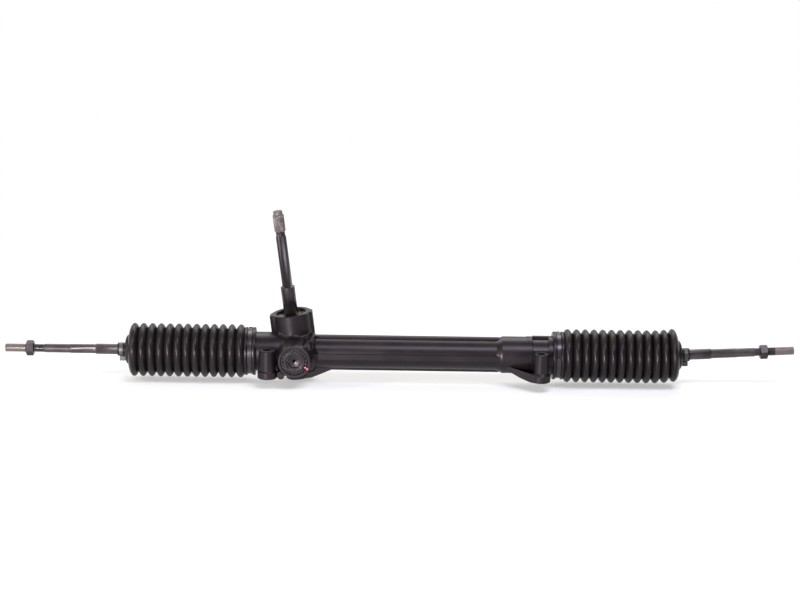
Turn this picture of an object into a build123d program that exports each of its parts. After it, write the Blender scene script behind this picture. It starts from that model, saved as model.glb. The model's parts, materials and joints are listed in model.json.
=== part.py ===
from build123d import *

import os
from math import acos, asin, atan, cos, degrees, pi, radians, sin, sqrt, tan

# Manual rack-and-pinion steering gear, in millimetres.
#
# Everything is drawn in the rack frame and moved once, when it is written:
#   X  along the rack bar, 0 at the pinion-side mounting bolt and rising towards the plain end
#   Y  0 on the rack bar's axis, rising away from the yoke boss
#   Z  0 on the rack bar's axis, rising towards the steering column
# The written frame has its origin on the pinion-side bolt's axis, at the seat under its boss.

# Mounting
MOUNT_SPACING = 384.0
MOUNT_OFFSET = 36.0  # bolt axes in front of the rack axis
SEAT_DROP = 28.0  # seat faces below the rack axis
MOUNT_TOP = 12.5  # top of the bolt bosses above the rack axis
MOUNT_HOLE = 10.5
HOLE_CHAMFER = 1.0

# Housing along the rack
END_REACH = 230.0  # mid plane to each end face
NECK_RADIUS = 27.8
SEAT_RADIUS = 26.3  # under the boots' large cuffs
TUBE_RADIUS = 22.0
TUBE_RIB_RADIUS = 24.8
TUBE_RIB_WIDTH = 8.0
TUBE_RIB_COUNT = 4
CASE_RADIUS = 27.0  # round the gear pair
CASE_START = 14.0
CASE_EASE = 8.0  # from the near neck down to the case
CASE_END = 63.0
CASE_TAPER = 4.0  # from the case down to the tube
TUBE_TAPER = 10.0  # from the collar down to the tube
COLLAR_RADIUS = 26.2
COLLAR_REACH = 53.0  # from the far bolt back towards the pinion
FAR_NECK_REACH = 12.0
RIDGE_COUNT = 2
RIDGE_PITCH = 3.4
RIDGE_WIDTH = 1.6
RIDGE_HEIGHT = 0.9
RACK_CLEARANCE = 1.5  # round the rack bar, radial
CORE_DEPTH = 1.0  # extra, inside the long tube
CORE_INSET = 8.0

# Bolt bosses
NEAR_BOSS_RADIUS = 11.8
NEAR_FOOT_RADIUS = 13.75
FOOT_HEIGHT = 9.5
FAR_BOSS_RADIUS = 10.0
FAR_FOOT_RADIUS = 13.5
BOSS_WEB = 16.0
POCKET_WIDTH = 22.5  # clearance for the far bolt's head, cut back into the neck
POCKET_RADIUS = 24.4
ARM_REACH = 48.0  # diagonal arm from the collar to the far boss
ARM_RIB = 3.0
ARM_RIB_HEIGHT = 4.5

# Gear pair
PINION_TEETH = 7
MODULE = 1.75  # normal
PRESSURE_ANGLE = 20.0
HELIX_ANGLE = 20.0
PROFILE_SHIFT = 0.55  # of a module
PINION_ADDENDUM = 0.81  # of a module, before the shift
PINION_DEDENDUM = 1.25
PINION_LEAN = 7.5  # top of the pinion towards the near end, degrees
PINION_X = 38.0  # where the pinion's axis crosses the rack's level
PINION_FACE = 28.0
TOOTH_PLAY = 0.12  # taken off the rack's teeth, across both flanks
RACK_RADIUS = 12.0
RACK_FLAT_DEPTH = 3.0  # tooth tips below the bar's round
RACK_DEDENDUM = 1.05
RACK_SPACES = 31
STROKE = 70.0  # each way from straight ahead
STOP_GAP = 0.5

# Pinion tower and lower boss, heights along the pinion's axis from the rack's level
TOWER_TOP = 54.5
TOWER_RADIUS = 28.1
TOWER_LAND = 30.25  # flats at the parting line
TOWER_LAND_WIDTH = 15.0
TOWER_FOOT = 20.0
TOWER_LAND_FOOT = 14.0
TOWER_LAND_BEVEL = 3.2
TOWER_CHAMFER = 1.2
PINION_CASE_RADIUS = 20.0
PINION_CASE_TOP = 8.0
LOWER_BOSS_RADIUS = 18.5
LOWER_BOSS_END = 41.0
GUSSET_REACH = 89.0
GUSSET_WIDTH = 14.0

# Pinion shaft, heights along its axis from the rack's level
BEARING_BORE = 20.0
BEARING_DIAMETER = 42.0
BEARING_WIDTH = 12.0
BEARING_SEAT = 36.0  # underside of the bearing
BEARING_BALLS = 9
BALL_DIAMETER = 6.35
CAGE_WALL = 1.8
CAGE_INSET = 1.8  # from the bearing's underside
CAGE_LIP = 0.6  # past the middle of the balls
SHOULDER_RADIUS = 12.25
SHOULDER_START = 20.0
RUN_OUT_RADIUS = 5.2  # waist between the teeth and the shoulder
UPPER_SHAFT_REACH = 38.0  # above the tower's face
SLIM_SHAFT_RADIUS = 7.25
SLIM_SHAFT_LENGTH = 73.0
SHAFT_WAIST_RADIUS = 6.4
SHAFT_WAIST_LENGTH = 6.5
SPLINE_RADIUS = 7.75
SPLINE_LENGTH = 24.5
PINCH_GROOVE_RADIUS = 5.0  # cross groove for the column's pinch bolt
PINCH_GROOVE_DEPTH = 1.9
PINCH_GROOVE_PLACE = 7.8  # below the nose
PINCH_GROOVE_TURN = 45.0  # from the front towards the far side, degrees
NOSE_RADIUS = 6.45
NOSE_LENGTH = 5.0
SHAFT_CHAMFER = 0.8
LOWER_JOURNAL_RADIUS = 6.0
LOWER_JOURNAL_START = 15.5
LOWER_JOURNAL_LENGTH = 12.0
LOWER_BUSH_RADIUS = 9.0
CHAMBER_GAP = 1.6  # round the pinion's teeth
BEARING_SHELF = 4.0  # under the outer ring

# Retaining rings
CIRCLIP_THICKNESS = 1.75
CIRCLIP_GROOVE_DEPTH = 1.25
CIRCLIP_WIDTH = 2.6
CIRCLIP_GAP = 40.0  # degrees
SNAP_RING_THICKNESS = 1.2
SNAP_RING_GROOVE_DEPTH = 0.5
SNAP_RING_WIDTH = 2.9
SNAP_RING_GAP = 30.0  # degrees

# Yoke group, depths along the yoke's axis from the rack's axis towards the front
YOKE_BOSS_FACE = 53.0
YOKE_BOSS_RADIUS = 23.0
YOKE_BOSS_BASE = 25.6
YOKE_BOSS_ROOT = 10.0  # where its taper starts
YOKE_EAR_RADIUS = 5.6
UPPER_EAR = (16.6, 17.6)  # along the rack from the yoke's axis, and up
LOWER_EAR = (-18.8, -22.4)
YOKE_EAR_FACE = 44.0
EAR_RIB_WIDTH = 3.2
EAR_RIB_TOP = 30.0  # above the rack axis
EAR_RIB_FACE = 26.0  # in front of it
YOKE_RADIUS = 14.0
YOKE_FRONT = 31.0
YOKE_BACK = 3.0
YOKE_FLOAT = 0.1  # between the yoke and its plug
YOKE_POCKET_RADIUS = 8.0
YOKE_POCKET_DEPTH = 13.0
YOKE_RING_SECTION = 1.25  # radius of the rubber ring
YOKE_RING_PLACE = 26.0
SPRING_WIRE = 2.4
SPRING_RADIUS = 5.8
SPRING_TURNS = 4.5
PLUG_RADIUS = 15.0
PLUG_FACE = 53.4
PLUG_SOCKET_FLATS = 17.0
PLUG_SOCKET_DEPTH = 5.0
PLUG_SOCKET_CONE = 1.2  # further down to the drilled centre
PLUG_DISH = 1.2
PLUG_RIM = 3.0
PLUG_CENTRE_HOLE = 2.0
LOCK_RING_RADIUS = 18.6
LOCK_RING_THICKNESS = 3.8
LOCK_RING_SLOTS = 20
LOCK_SLOT_WIDTH = 2.2
LOCK_SLOT_DEPTH = 2.2
LOCK_SLOT_REACH = 17.3
COUNTERBORE_DEPTH = 4.5
COUNTERBORE_GAP = 0.8

# Bush at the plain end
BUSH_WALL = 4.0
BUSH_LENGTH = 30.0
BUSH_INSET = 6.0  # from the end face
BUSH_RING_SECTION = 0.9
BUSH_RING_INSET = 6.0
BUSH_SLIT = 2.0

# Inner ball joints
SPIGOT_RADIUS = 8.0
SPIGOT_LENGTH = 14.0
WASHER_RIM = 4.0  # beyond the socket
WASHER_THICKNESS = 2.5
WASHER_TAB = 6.0
BALL_RADIUS = 11.5
BALL_BACKING = 2.0  # from the bar's spigot to the seat's cavity
SEAT_WALL = 1.9
SOCKET_WALL = 2.5
SOCKET_FLATS = 28.0
SOCKET_FLAT_LENGTH = 10.0
SOCKET_NOSE = 9.0  # beyond the ball's centre
SWING = 18.0  # each of the ball joint's two motions, each way, degrees
MOUTH_MARGIN = 3.0

# Tie rods, lengths from the ball's centre
ROD_LENGTH = {"left": 233.0, "right": 223.0}
ROD_LIFT = {"left": 0.0, "right": 3.1}  # degrees, as the rods are stored
ROD_NECK_RADIUS = 5.5
ROD_NECK_LENGTH = 24.0
ROD_CONE_LENGTH = 6.0
ROD_SHANK_RADIUS = 7.4
ROD_SHANK_LENGTH = 104.5
ROD_FLATS_RADIUS = 6.5
ROD_FLATS = 10.8
ROD_FLATS_LENGTH = 36.5
ROD_RADIUS = 6.2
THREAD_RADIUS = 6.0
NUTTED_THREAD_RADIUS = 5.8  # under the lock nut and behind it
THREAD_LENGTH = 55.0
TIP_CHAMFER = 1.6
NUT_FLATS = 19.0
NUT_THICKNESS = 11.0
NUT_PLACE = {"left": 29.5, "right": 37.5}  # thread left bare beyond the nut

# Boots
CUFF_INSET = 20.5  # from the housing's end face
CUFF_LENGTH = 16.0
CUFF_RADIUS = 31.0
CUFF_RIB_RADIUS = 34.0
CUFF_RIB_WIDTH = 4.5
FIRST_FOLD_LENGTH = 12.0
FOLD_REACH = 57.0  # these three are from the ball's centre
DOME_REACH = 63.5
SMALL_CUFF_REACH = 74.5
FOLD_COUNT = 12
FOLD_PEAK = 37.7
FOLD_ROOT = 30.0
BOOT_WALL = 2.2
DOME_RADIUS = 21.0
SMALL_CUFF_RADIUS = 9.4
BAND_WIDTH = 5.8
BAND_THICKNESS = 1.0
BAND_EAR = (8.0, 3.2)  # length round the cuff, height
STRAP_WIDTH = 5.0
STRAP_THICKNESS = 1.4
STRAP_GROOVE_DEPTH = 1.1
STRAP_HEAD = (7.6, 7.6, 6.5)  # along the rod, across it, height
STRAP_INSET = 5.0  # strap's middle from the cuff's end

# Fits
SLIDING_FIT = 0.05
SEATED_FIT = 0.02
SOFT_GAP = 0.3

# Worked out from the sizes above
MID = MOUNT_SPACING / 2
NEAR_END = MID - END_REACH
FAR_END = MID + END_REACH
TUBE_START = CASE_END + CASE_TAPER
COLLAR_START = MOUNT_SPACING - COLLAR_REACH
TUBE_END = COLLAR_START - TUBE_TAPER
FAR_NECK_START = MOUNT_SPACING - FAR_NECK_REACH
RACK_BORE = RACK_RADIUS + RACK_CLEARANCE
CORE_BORE = RACK_BORE + CORE_DEPTH
CORE_START = TUBE_START + CORE_INSET
BUSH_RADIUS = RACK_RADIUS + BUSH_WALL
TOOTH_SLANT = HELIX_ANGLE - PINION_LEAN
NORMAL_PITCH = pi * MODULE
TRANSVERSE_MODULE = MODULE / cos(radians(HELIX_ANGLE))
TRANSVERSE_PRESSURE = atan(tan(radians(PRESSURE_ANGLE)) / cos(radians(HELIX_ANGLE)))
PITCH_RADIUS = TRANSVERSE_MODULE * PINION_TEETH / 2
BASE_RADIUS = PITCH_RADIUS * cos(TRANSVERSE_PRESSURE)
PINION_TIP = PITCH_RADIUS + (PINION_ADDENDUM + PROFILE_SHIFT) * MODULE
PINION_ROOT = PITCH_RADIUS - (PINION_DEDENDUM - PROFILE_SHIFT) * MODULE
RACK_TIP = RACK_RADIUS - RACK_FLAT_DEPTH
RACK_DATUM = RACK_TIP - MODULE  # where the rack's teeth are as wide as its spaces
RACK_ROOT = RACK_DATUM - RACK_DEDENDUM * MODULE
PINION_OFFSET = RACK_DATUM + PITCH_RADIUS + PROFILE_SHIFT * MODULE
SHAFT_RADIUS = BEARING_BORE / 2
TOWER_BORE = BEARING_DIAMETER / 2
BEARING_TOP = BEARING_SEAT + BEARING_WIDTH
BAR_REACH = END_REACH + STROKE + STOP_GAP
SOCKET_START = BAR_REACH + WASHER_THICKNESS
SEAT_RADIUS_OUTSIDE = BALL_RADIUS + SLIDING_FIT + SEAT_WALL
SOCKET_CAVITY = SEAT_RADIUS_OUTSIDE + SLIDING_FIT
SOCKET_RADIUS = SOCKET_CAVITY + SOCKET_WALL
WASHER_RADIUS = SOCKET_RADIUS + WASHER_RIM
BALL_CENTRE = BAR_REACH + SPIGOT_LENGTH + BALL_BACKING + SOCKET_CAVITY  # from the mid plane
CUFF_START = END_REACH - CUFF_INSET
FOLD_END = BALL_CENTRE + FOLD_REACH
CONE_SWING = acos(cos(radians(SWING)) ** 2)  # both motions at their limits
BUSH_END = FAR_END - BUSH_INSET
BUSH_START = BUSH_END - BUSH_LENGTH
LOCK_RING_SEAT = YOKE_BOSS_FACE - COUNTERBORE_DEPTH
PLUG_BACK = YOKE_FRONT + YOKE_FLOAT

# Working lines: local Z runs along each one
RACK_LINE = Plane(origin=(0, 0, 0), x_dir=(0, 0, -1), z_dir=(1, 0, 0))
YOKE_LINE = Plane(origin=(PINION_X, 0, 0), x_dir=(1, 0, 0), z_dir=(0, -1, 0))
LEAN_SIN = sin(radians(PINION_LEAN))
LEAN_COS = cos(radians(PINION_LEAN))
PINION_LINE = Plane(
    origin=(PINION_X, PINION_OFFSET, 0),
    x_dir=(LEAN_COS, 0, LEAN_SIN),
    z_dir=(-LEAN_SIN, 0, LEAN_COS),
)
OUTWARDS = {"left": -1, "right": 1}


def side_line(side):
    """Line from the mid plane out along the rack's axis; local X points down."""
    return Plane(origin=(MID, 0, 0), x_dir=(0, 0, -1), z_dir=(OUTWARDS[side], 0, 0))


def rod_line(side):
    """Line of a tie rod from its ball's centre; local X points down."""
    out = OUTWARDS[side]
    lift = radians(ROD_LIFT[side])
    return Plane(
        origin=(MID + out * BALL_CENTRE, 0, 0),
        x_dir=(out * sin(lift), 0, -cos(lift)),
        z_dir=(out * cos(lift), 0, sin(lift)),
    )


def turned(*corners):
    """Solid turned about Z, from (height, radius) corners, filled to its axis."""
    outline = [(0, corners[0][0])]
    outline += [(radius, height) for height, radius in corners]
    outline += [(0, corners[-1][0])]
    return revolve(Plane.XZ * make_face(Polyline(*outline, close=True)), Axis.Z)


def ring(*corners):
    """Ring turned about Z, from (height, radius) corners."""
    outline = [(radius, height) for height, radius in corners]
    return revolve(Plane.XZ * make_face(Polyline(*outline, close=True)), Axis.Z)


def rod(radius, start, end):
    """Cylinder about Z from start to end."""
    return Pos(0, 0, start) * Cylinder(radius, end - start, align=(Align.CENTER, Align.CENTER, Align.MIN))


def block(low, high):
    """Box between two corners."""
    size = [b - a for a, b in zip(low, high)]
    return Pos(*low) * Box(*size, align=(Align.MIN, Align.MIN, Align.MIN))


def prism(plane, points, thickness):
    """Polygon drawn on a plane and extruded both ways from it."""
    face = plane * make_face(Polyline(*points, close=True))
    return extrude(face, thickness / 2, both=True)


# ---------------------------------------------------------------- housing


def rack_casing():
    """Turned outside of the casting: necks, case, long tube and collar."""
    lip = 1.0
    near_seat = MID - CUFF_START - CUFF_LENGTH
    far_seat = MID + CUFF_START
    return RACK_LINE * turned(
        (NEAR_END, NECK_RADIUS - lip),
        (NEAR_END + lip, NECK_RADIUS),
        (near_seat, NECK_RADIUS),
        (near_seat, SEAT_RADIUS),
        (near_seat + CUFF_LENGTH, SEAT_RADIUS),
        (near_seat + CUFF_LENGTH, NECK_RADIUS),
        (CASE_START, NECK_RADIUS),
        (CASE_START + CASE_EASE, CASE_RADIUS),
        (CASE_END, CASE_RADIUS),
        (TUBE_START, TUBE_RADIUS),
        (TUBE_END, TUBE_RADIUS),
        (COLLAR_START, COLLAR_RADIUS),
        (FAR_NECK_START, COLLAR_RADIUS),
        (FAR_NECK_START + lip, NECK_RADIUS),
        (far_seat, NECK_RADIUS),
        (far_seat, SEAT_RADIUS),
        (far_seat + CUFF_LENGTH, SEAT_RADIUS),
        (far_seat + CUFF_LENGTH, NECK_RADIUS),
        (FAR_END - lip, NECK_RADIUS),
        (FAR_END, NECK_RADIUS - lip),
    )


def tube_ribs():
    """Four ribs along the tube, running into the case and the collar."""
    start = (CASE_END + TUBE_START) / 2
    end = (TUBE_END + COLLAR_START) / 2
    half = TUBE_RIB_WIDTH / 2
    rib = block((start, -half, 0), (end, half, TUBE_RIB_RADIUS))
    return [Rot(360 * i / TUBE_RIB_COUNT, 0, 0) * rib for i in range(TUBE_RIB_COUNT)]


def collar_ridges():
    """Small turned ridges between the collar and the far neck."""
    ridges = []
    for i in range(RIDGE_COUNT):
        end = FAR_NECK_START - RIDGE_WIDTH - RIDGE_PITCH * i
        start = end - RIDGE_WIDTH
        ridges.append(RACK_LINE * rod(COLLAR_RADIUS + RIDGE_HEIGHT, start, end))
    return ridges


def pinion_tower():
    """Bearing tower above the rack and the closed boss below it, on the leaning axis."""
    body = turned(
        (-LOWER_BOSS_END, LOWER_BOSS_RADIUS - TOWER_CHAMFER),
        (-LOWER_BOSS_END + TOWER_CHAMFER, LOWER_BOSS_RADIUS),
        (PINION_CASE_TOP, PINION_CASE_RADIUS),
        (TOWER_FOOT, TOWER_RADIUS),
        (TOWER_TOP - TOWER_CHAMFER, TOWER_RADIUS),
        (TOWER_TOP, TOWER_RADIUS - TOWER_CHAMFER),
    )
    half = TOWER_LAND_WIDTH / 2
    slope = TOWER_LAND - TOWER_RADIUS
    corner = (TOWER_LAND - 2 * slope, half + slope)
    quarter = [(TOWER_LAND, half), corner]
    land = quarter + [(-x, y) for x, y in reversed(quarter)]
    land += [(-x, -y) for x, y in quarter] + [(x, -y) for x, y in reversed(quarter)]
    lands = Pos(0, 0, TOWER_LAND_FOOT) * extrude(make_face(Polyline(*land, close=True)), TOWER_TOP)
    lands &= turned(
        (TOWER_LAND_FOOT, TOWER_LAND + 2 * slope),
        (TOWER_TOP - TOWER_LAND_BEVEL, TOWER_LAND + 2 * slope),
        (TOWER_TOP, TOWER_RADIUS - TOWER_CHAMFER),
    )
    return PINION_LINE * (body + lands)


def ear_rib():
    """Rib from the upper ear up to the tower's land."""
    foot = PINION_X + UPPER_EAR[0]
    head = PINION_X + TOWER_LAND * LEAN_COS - TOWER_FOOT * LEAN_SIN
    points = [
        (foot, UPPER_EAR[1]),
        (head - EAR_RIB_WIDTH, EAR_RIB_TOP),
        (head, EAR_RIB_TOP),
        (foot + YOKE_EAR_RADIUS, UPPER_EAR[1]),
    ]
    middle = Plane(origin=(0, -EAR_RIB_FACE / 2, 0), x_dir=(1, 0, 0), z_dir=(0, -1, 0))
    return prism(middle, points, EAR_RIB_FACE)


def yoke_boss():
    """Drafted round boss for the yoke, with two cast ears beside it and a rib from one to the tower."""
    boss = turned(
        (0, YOKE_BOSS_BASE),
        (YOKE_BOSS_ROOT, YOKE_BOSS_BASE),
        (YOKE_BOSS_FACE - 1, YOKE_BOSS_RADIUS),
        (YOKE_BOSS_FACE, YOKE_BOSS_RADIUS - 0.8),
    )
    body = YOKE_LINE * boss
    for along, up in (UPPER_EAR, LOWER_EAR):
        body += YOKE_LINE * (Pos(along, up, 0) * rod(YOKE_EAR_RADIUS, RACK_RADIUS, YOKE_EAR_FACE))
    return body + ear_rib()


def under_gusset():
    """Web from the lower pinion boss to the underside of the tube."""
    foot = PINION_X + LOWER_BOSS_END * LEAN_SIN
    low = -LOWER_BOSS_END * LEAN_COS
    points = [
        (foot, low + 1),
        (foot + LOWER_BOSS_RADIUS, low + 4),
        (GUSSET_REACH, -TUBE_RIB_RADIUS),
        (GUSSET_REACH, 0),
        (foot, 0),
    ]
    return prism(Plane(origin=(0, 3, 0), x_dir=(1, 0, 0), z_dir=(0, -1, 0)), points, GUSSET_WIDTH)


def bolt_boss(x, radius, foot_radius):
    """Bolt boss in front of the rack, with its thicker foot and its web to the casting."""
    chamfer = 0.8
    body = turned(
        (-SEAT_DROP, foot_radius - chamfer),
        (chamfer - SEAT_DROP, foot_radius),
        (FOOT_HEIGHT - SEAT_DROP, foot_radius),
        (FOOT_HEIGHT - SEAT_DROP + foot_radius - radius, radius),
        (MOUNT_TOP - chamfer, radius),
        (MOUNT_TOP, radius - chamfer),
    )
    half = BOSS_WEB / 2
    web = block((-half, 0, 3 - SEAT_DROP), (half, MOUNT_OFFSET - RACK_BORE, MOUNT_TOP - 5))
    return Pos(x, -MOUNT_OFFSET, 0) * (body + web)


def far_arm():
    """Diagonal arm from the collar to the far boss's foot, with a raised rib on its outer edge."""
    start = MOUNT_SPACING - ARM_REACH
    foot_front = -MOUNT_OFFSET - FAR_FOOT_RADIUS
    foot_top = FOOT_HEIGHT - SEAT_DROP
    plan = [(start, 4 - COLLAR_RADIUS), (MOUNT_SPACING - 3, foot_front + 0.4)]
    plan += [(MOUNT_SPACING, foot_front + 4), (MOUNT_SPACING, 0), (start, 0)]
    side = [(start, -10), (start, -16), (start + 20, -24.5), (start + 33, -SEAT_DROP)]
    side += [(MOUNT_SPACING, -SEAT_DROP), (MOUNT_SPACING, foot_top)]
    arm = extrude(make_face(Polyline(*plan, close=True)), -SEAT_DROP)
    arm &= prism(Plane(origin=(0, 0, 0), x_dir=(1, 0, 0), z_dir=(0, -1, 0)), side, 4 * MOUNT_OFFSET)
    inner = [(x, y + ARM_RIB) for x, y in plan[:2]] + [(MOUNT_SPACING, 0), (start, 0)]
    floor = [(x, z - ARM_RIB_HEIGHT) for x, z in (side[0], side[-1])]
    floor += [(MOUNT_SPACING, 0), (start, 0)]
    recess = extrude(make_face(Polyline(*inner, close=True)), -SEAT_DROP)
    recess &= prism(Plane(origin=(0, 0, 0), x_dir=(1, 0, 0), z_dir=(0, -1, 0)), floor, 4 * MOUNT_OFFSET)
    return arm - recess


def bolt_head_pocket():
    """Relief in the far neck over its bolt boss, for the bolt's head and a spanner."""
    half = POCKET_WIDTH / 2
    round_floor = RACK_LINE * rod(POCKET_RADIUS, NEAR_END, FAR_END)
    opening = block((-half, -SEAT_DROP - 4, MOUNT_TOP), (half, -2, NECK_RADIUS + 1))
    return Pos(MOUNT_SPACING, 0, 0) * opening - round_floor


def rack_bores():
    """Bore along the rack: plain at the pinion, wider in the tube, counterbored for the bush."""
    chamfer = 1.0
    return RACK_LINE * turned(
        (NEAR_END - 1, RACK_BORE + 2 * chamfer),
        (NEAR_END + chamfer, RACK_BORE),
        (CORE_START, RACK_BORE),
        (CORE_START + 2, CORE_BORE),
        (BUSH_START, CORE_BORE),
        (BUSH_START, BUSH_RADIUS),
        (FAR_END + 1, BUSH_RADIUS),
    )


def pinion_bores():
    """Stepped bore for the pinion: bush seat, tooth chamber, bearing seat and circlip groove."""
    bush_start = -LOWER_JOURNAL_START - LOWER_JOURNAL_LENGTH - 1
    chamber = PINION_TIP + CHAMBER_GAP
    groove_low = BEARING_TOP + SEATED_FIT
    groove_high = groove_low + CIRCLIP_THICKNESS + SLIDING_FIT
    return PINION_LINE * turned(
        (bush_start, LOWER_BUSH_RADIUS),
        (-LOWER_JOURNAL_START, LOWER_BUSH_RADIUS),
        (-LOWER_JOURNAL_START, chamber),
        (SHOULDER_START - 2, chamber),
        (SHOULDER_START - 2, TOWER_BORE - BEARING_SHELF),
        (BEARING_SEAT, TOWER_BORE - BEARING_SHELF),
        (BEARING_SEAT, TOWER_BORE),
        (groove_low, TOWER_BORE),
        (groove_low, TOWER_BORE + CIRCLIP_GROOVE_DEPTH),
        (groove_high, TOWER_BORE + CIRCLIP_GROOVE_DEPTH),
        (groove_high, TOWER_BORE),
        (TOWER_TOP - 0.8, TOWER_BORE),
        (TOWER_TOP + 0.2, TOWER_BORE + 1),
    )


def yoke_bores():
    """Yoke slide, plug thread and the lock ring's counterbore."""
    return YOKE_LINE * turned(
        (0, YOKE_RADIUS + SLIDING_FIT),
        (PLUG_BACK - YOKE_FLOAT, YOKE_RADIUS + SLIDING_FIT),
        (PLUG_BACK - YOKE_FLOAT, PLUG_RADIUS + SEATED_FIT),
        (LOCK_RING_SEAT, PLUG_RADIUS + SEATED_FIT),
        (LOCK_RING_SEAT, LOCK_RING_RADIUS + COUNTERBORE_GAP),
        (YOKE_BOSS_FACE + 1, LOCK_RING_RADIUS + COUNTERBORE_GAP),
    )


def mount_hole(x):
    """Bolt hole through a boss, chamfered where the bolt goes in."""
    radius = MOUNT_HOLE / 2
    return Pos(x, -MOUNT_OFFSET, 0) * turned(
        (-SEAT_DROP - 1, radius),
        (MOUNT_TOP - HOLE_CHAMFER, radius),
        (MOUNT_TOP + HOLE_CHAMFER, radius + 2 * HOLE_CHAMFER),
    )


def housing():
    """The one-piece casting that carries everything."""
    body = rack_casing() + tube_ribs() + collar_ridges()
    body += [pinion_tower(), yoke_boss(), under_gusset()]
    body += bolt_boss(0, NEAR_BOSS_RADIUS, NEAR_FOOT_RADIUS)
    body += bolt_boss(MOUNT_SPACING, FAR_BOSS_RADIUS, FAR_FOOT_RADIUS)
    body += far_arm()
    body -= [bolt_head_pocket(), rack_bores(), pinion_bores(), yoke_bores()]
    body -= [mount_hole(0), mount_hole(MOUNT_SPACING)]
    return body


# ---------------------------------------------------------------- gear pair


def involute(radius):
    """Involute function at a radius of the pinion, in radians."""
    angle = acos(BASE_RADIUS / radius)
    return tan(angle) - angle


def on_circle(radius, angle):
    return (radius * cos(angle), radius * sin(angle))


def pinion_section():
    """Pinion's teeth cut square to its axis, one of them pointing at the rack."""
    thickness = pi / 2 * TRANSVERSE_MODULE + 2 * PROFILE_SHIFT * MODULE * tan(TRANSVERSE_PRESSURE)
    half_base = thickness / (2 * PITCH_RADIUS) + involute(PITCH_RADIUS)
    half_tip = half_base - involute(PINION_TIP)
    pitch = 2 * pi / PINION_TEETH
    steps = 5
    radii = [BASE_RADIUS + (PINION_TIP - BASE_RADIUS) * (i / steps) ** 2 for i in range(steps + 1)]
    edges = []
    for tooth in range(PINION_TEETH):
        centre = tooth * pitch - pi / 2
        rising = [on_circle(r, centre - half_base + involute(r)) for r in radii]
        falling = [on_circle(r, centre + half_base - involute(r)) for r in reversed(radii)]
        start, end = centre - half_base, centre + half_base
        edges.append(Line(on_circle(PINION_ROOT, start), rising[0]))
        edges.append(Spline(*rising))
        edges.append(ThreePointArc(rising[-1], on_circle(PINION_TIP, centre), falling[0]))
        edges.append(Spline(*falling))
        edges.append(Line(falling[-1], on_circle(PINION_ROOT, end)))
        valley = [on_circle(PINION_ROOT, angle) for angle in (end, centre + pitch / 2, start + pitch)]
        edges.append(ThreePointArc(*valley))
    return make_face(edges)


def pinion_teeth():
    """Right-hand helical teeth, centred on the rack's level."""
    twist = degrees(PINION_FACE * tan(radians(HELIX_ANGLE)) / PITCH_RADIUS)
    section = Pos(0, 0, -PINION_FACE / 2) * Rot(0, 0, -twist / 2) * pinion_section()
    return Solid.extrude_linear_with_rotation(
        section.face(), (0, 0, -PINION_FACE / 2), (0, 0, PINION_FACE), twist
    )


def pinion_shaft():
    """Pinion and steering shaft in one piece."""
    journal_end = -LOWER_JOURNAL_START - LOWER_JOURNAL_LENGTH
    groove = BEARING_TOP + SEATED_FIT
    slim = TOWER_TOP + UPPER_SHAFT_REACH
    waist = slim + SLIM_SHAFT_LENGTH
    spline = waist + SHAFT_WAIST_LENGTH
    nose = spline + SPLINE_LENGTH
    tip = nose + NOSE_LENGTH
    bevel = SHAFT_CHAMFER
    lower = turned(
        (journal_end, LOWER_JOURNAL_RADIUS - bevel),
        (journal_end + bevel, LOWER_JOURNAL_RADIUS),
        (-LOWER_JOURNAL_START, LOWER_JOURNAL_RADIUS),
        (-LOWER_JOURNAL_START, RUN_OUT_RADIUS),
        (1 - PINION_FACE / 2, RUN_OUT_RADIUS),
    )
    upper = turned(
        (PINION_FACE / 2 - 1, RUN_OUT_RADIUS),
        (PINION_FACE / 2 + 2, RUN_OUT_RADIUS),
        (SHOULDER_START, SHOULDER_RADIUS),
        (BEARING_SEAT, SHOULDER_RADIUS),
        (BEARING_SEAT, SHAFT_RADIUS),
        (groove, SHAFT_RADIUS),
        (groove, SHAFT_RADIUS - SNAP_RING_GROOVE_DEPTH),
        (groove + SNAP_RING_THICKNESS, SHAFT_RADIUS - SNAP_RING_GROOVE_DEPTH),
        (groove + SNAP_RING_THICKNESS, SHAFT_RADIUS),
        (slim - bevel, SHAFT_RADIUS),
        (slim, SHAFT_RADIUS - bevel),
        (slim, SLIM_SHAFT_RADIUS),
        (waist - bevel, SLIM_SHAFT_RADIUS),
        (waist, SHAFT_WAIST_RADIUS),
        (spline, SHAFT_WAIST_RADIUS),
        (spline + bevel, SPLINE_RADIUS),
        (nose - bevel, SPLINE_RADIUS),
        (nose, NOSE_RADIUS),
        (tip - bevel, NOSE_RADIUS),
        (tip, NOSE_RADIUS - bevel),
    )
    groove_centre = SPLINE_RADIUS - PINCH_GROOVE_DEPTH + PINCH_GROOVE_RADIUS
    pinch = Pos(0, -groove_centre, nose - PINCH_GROOVE_PLACE) * Rot(0, 90, 0)
    pinch *= Cylinder(PINCH_GROOVE_RADIUS, 4 * SPLINE_RADIUS)
    return PINION_LINE * (pinion_teeth() + lower + upper - Rot(0, 0, PINCH_GROOVE_TURN) * pinch)


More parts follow.
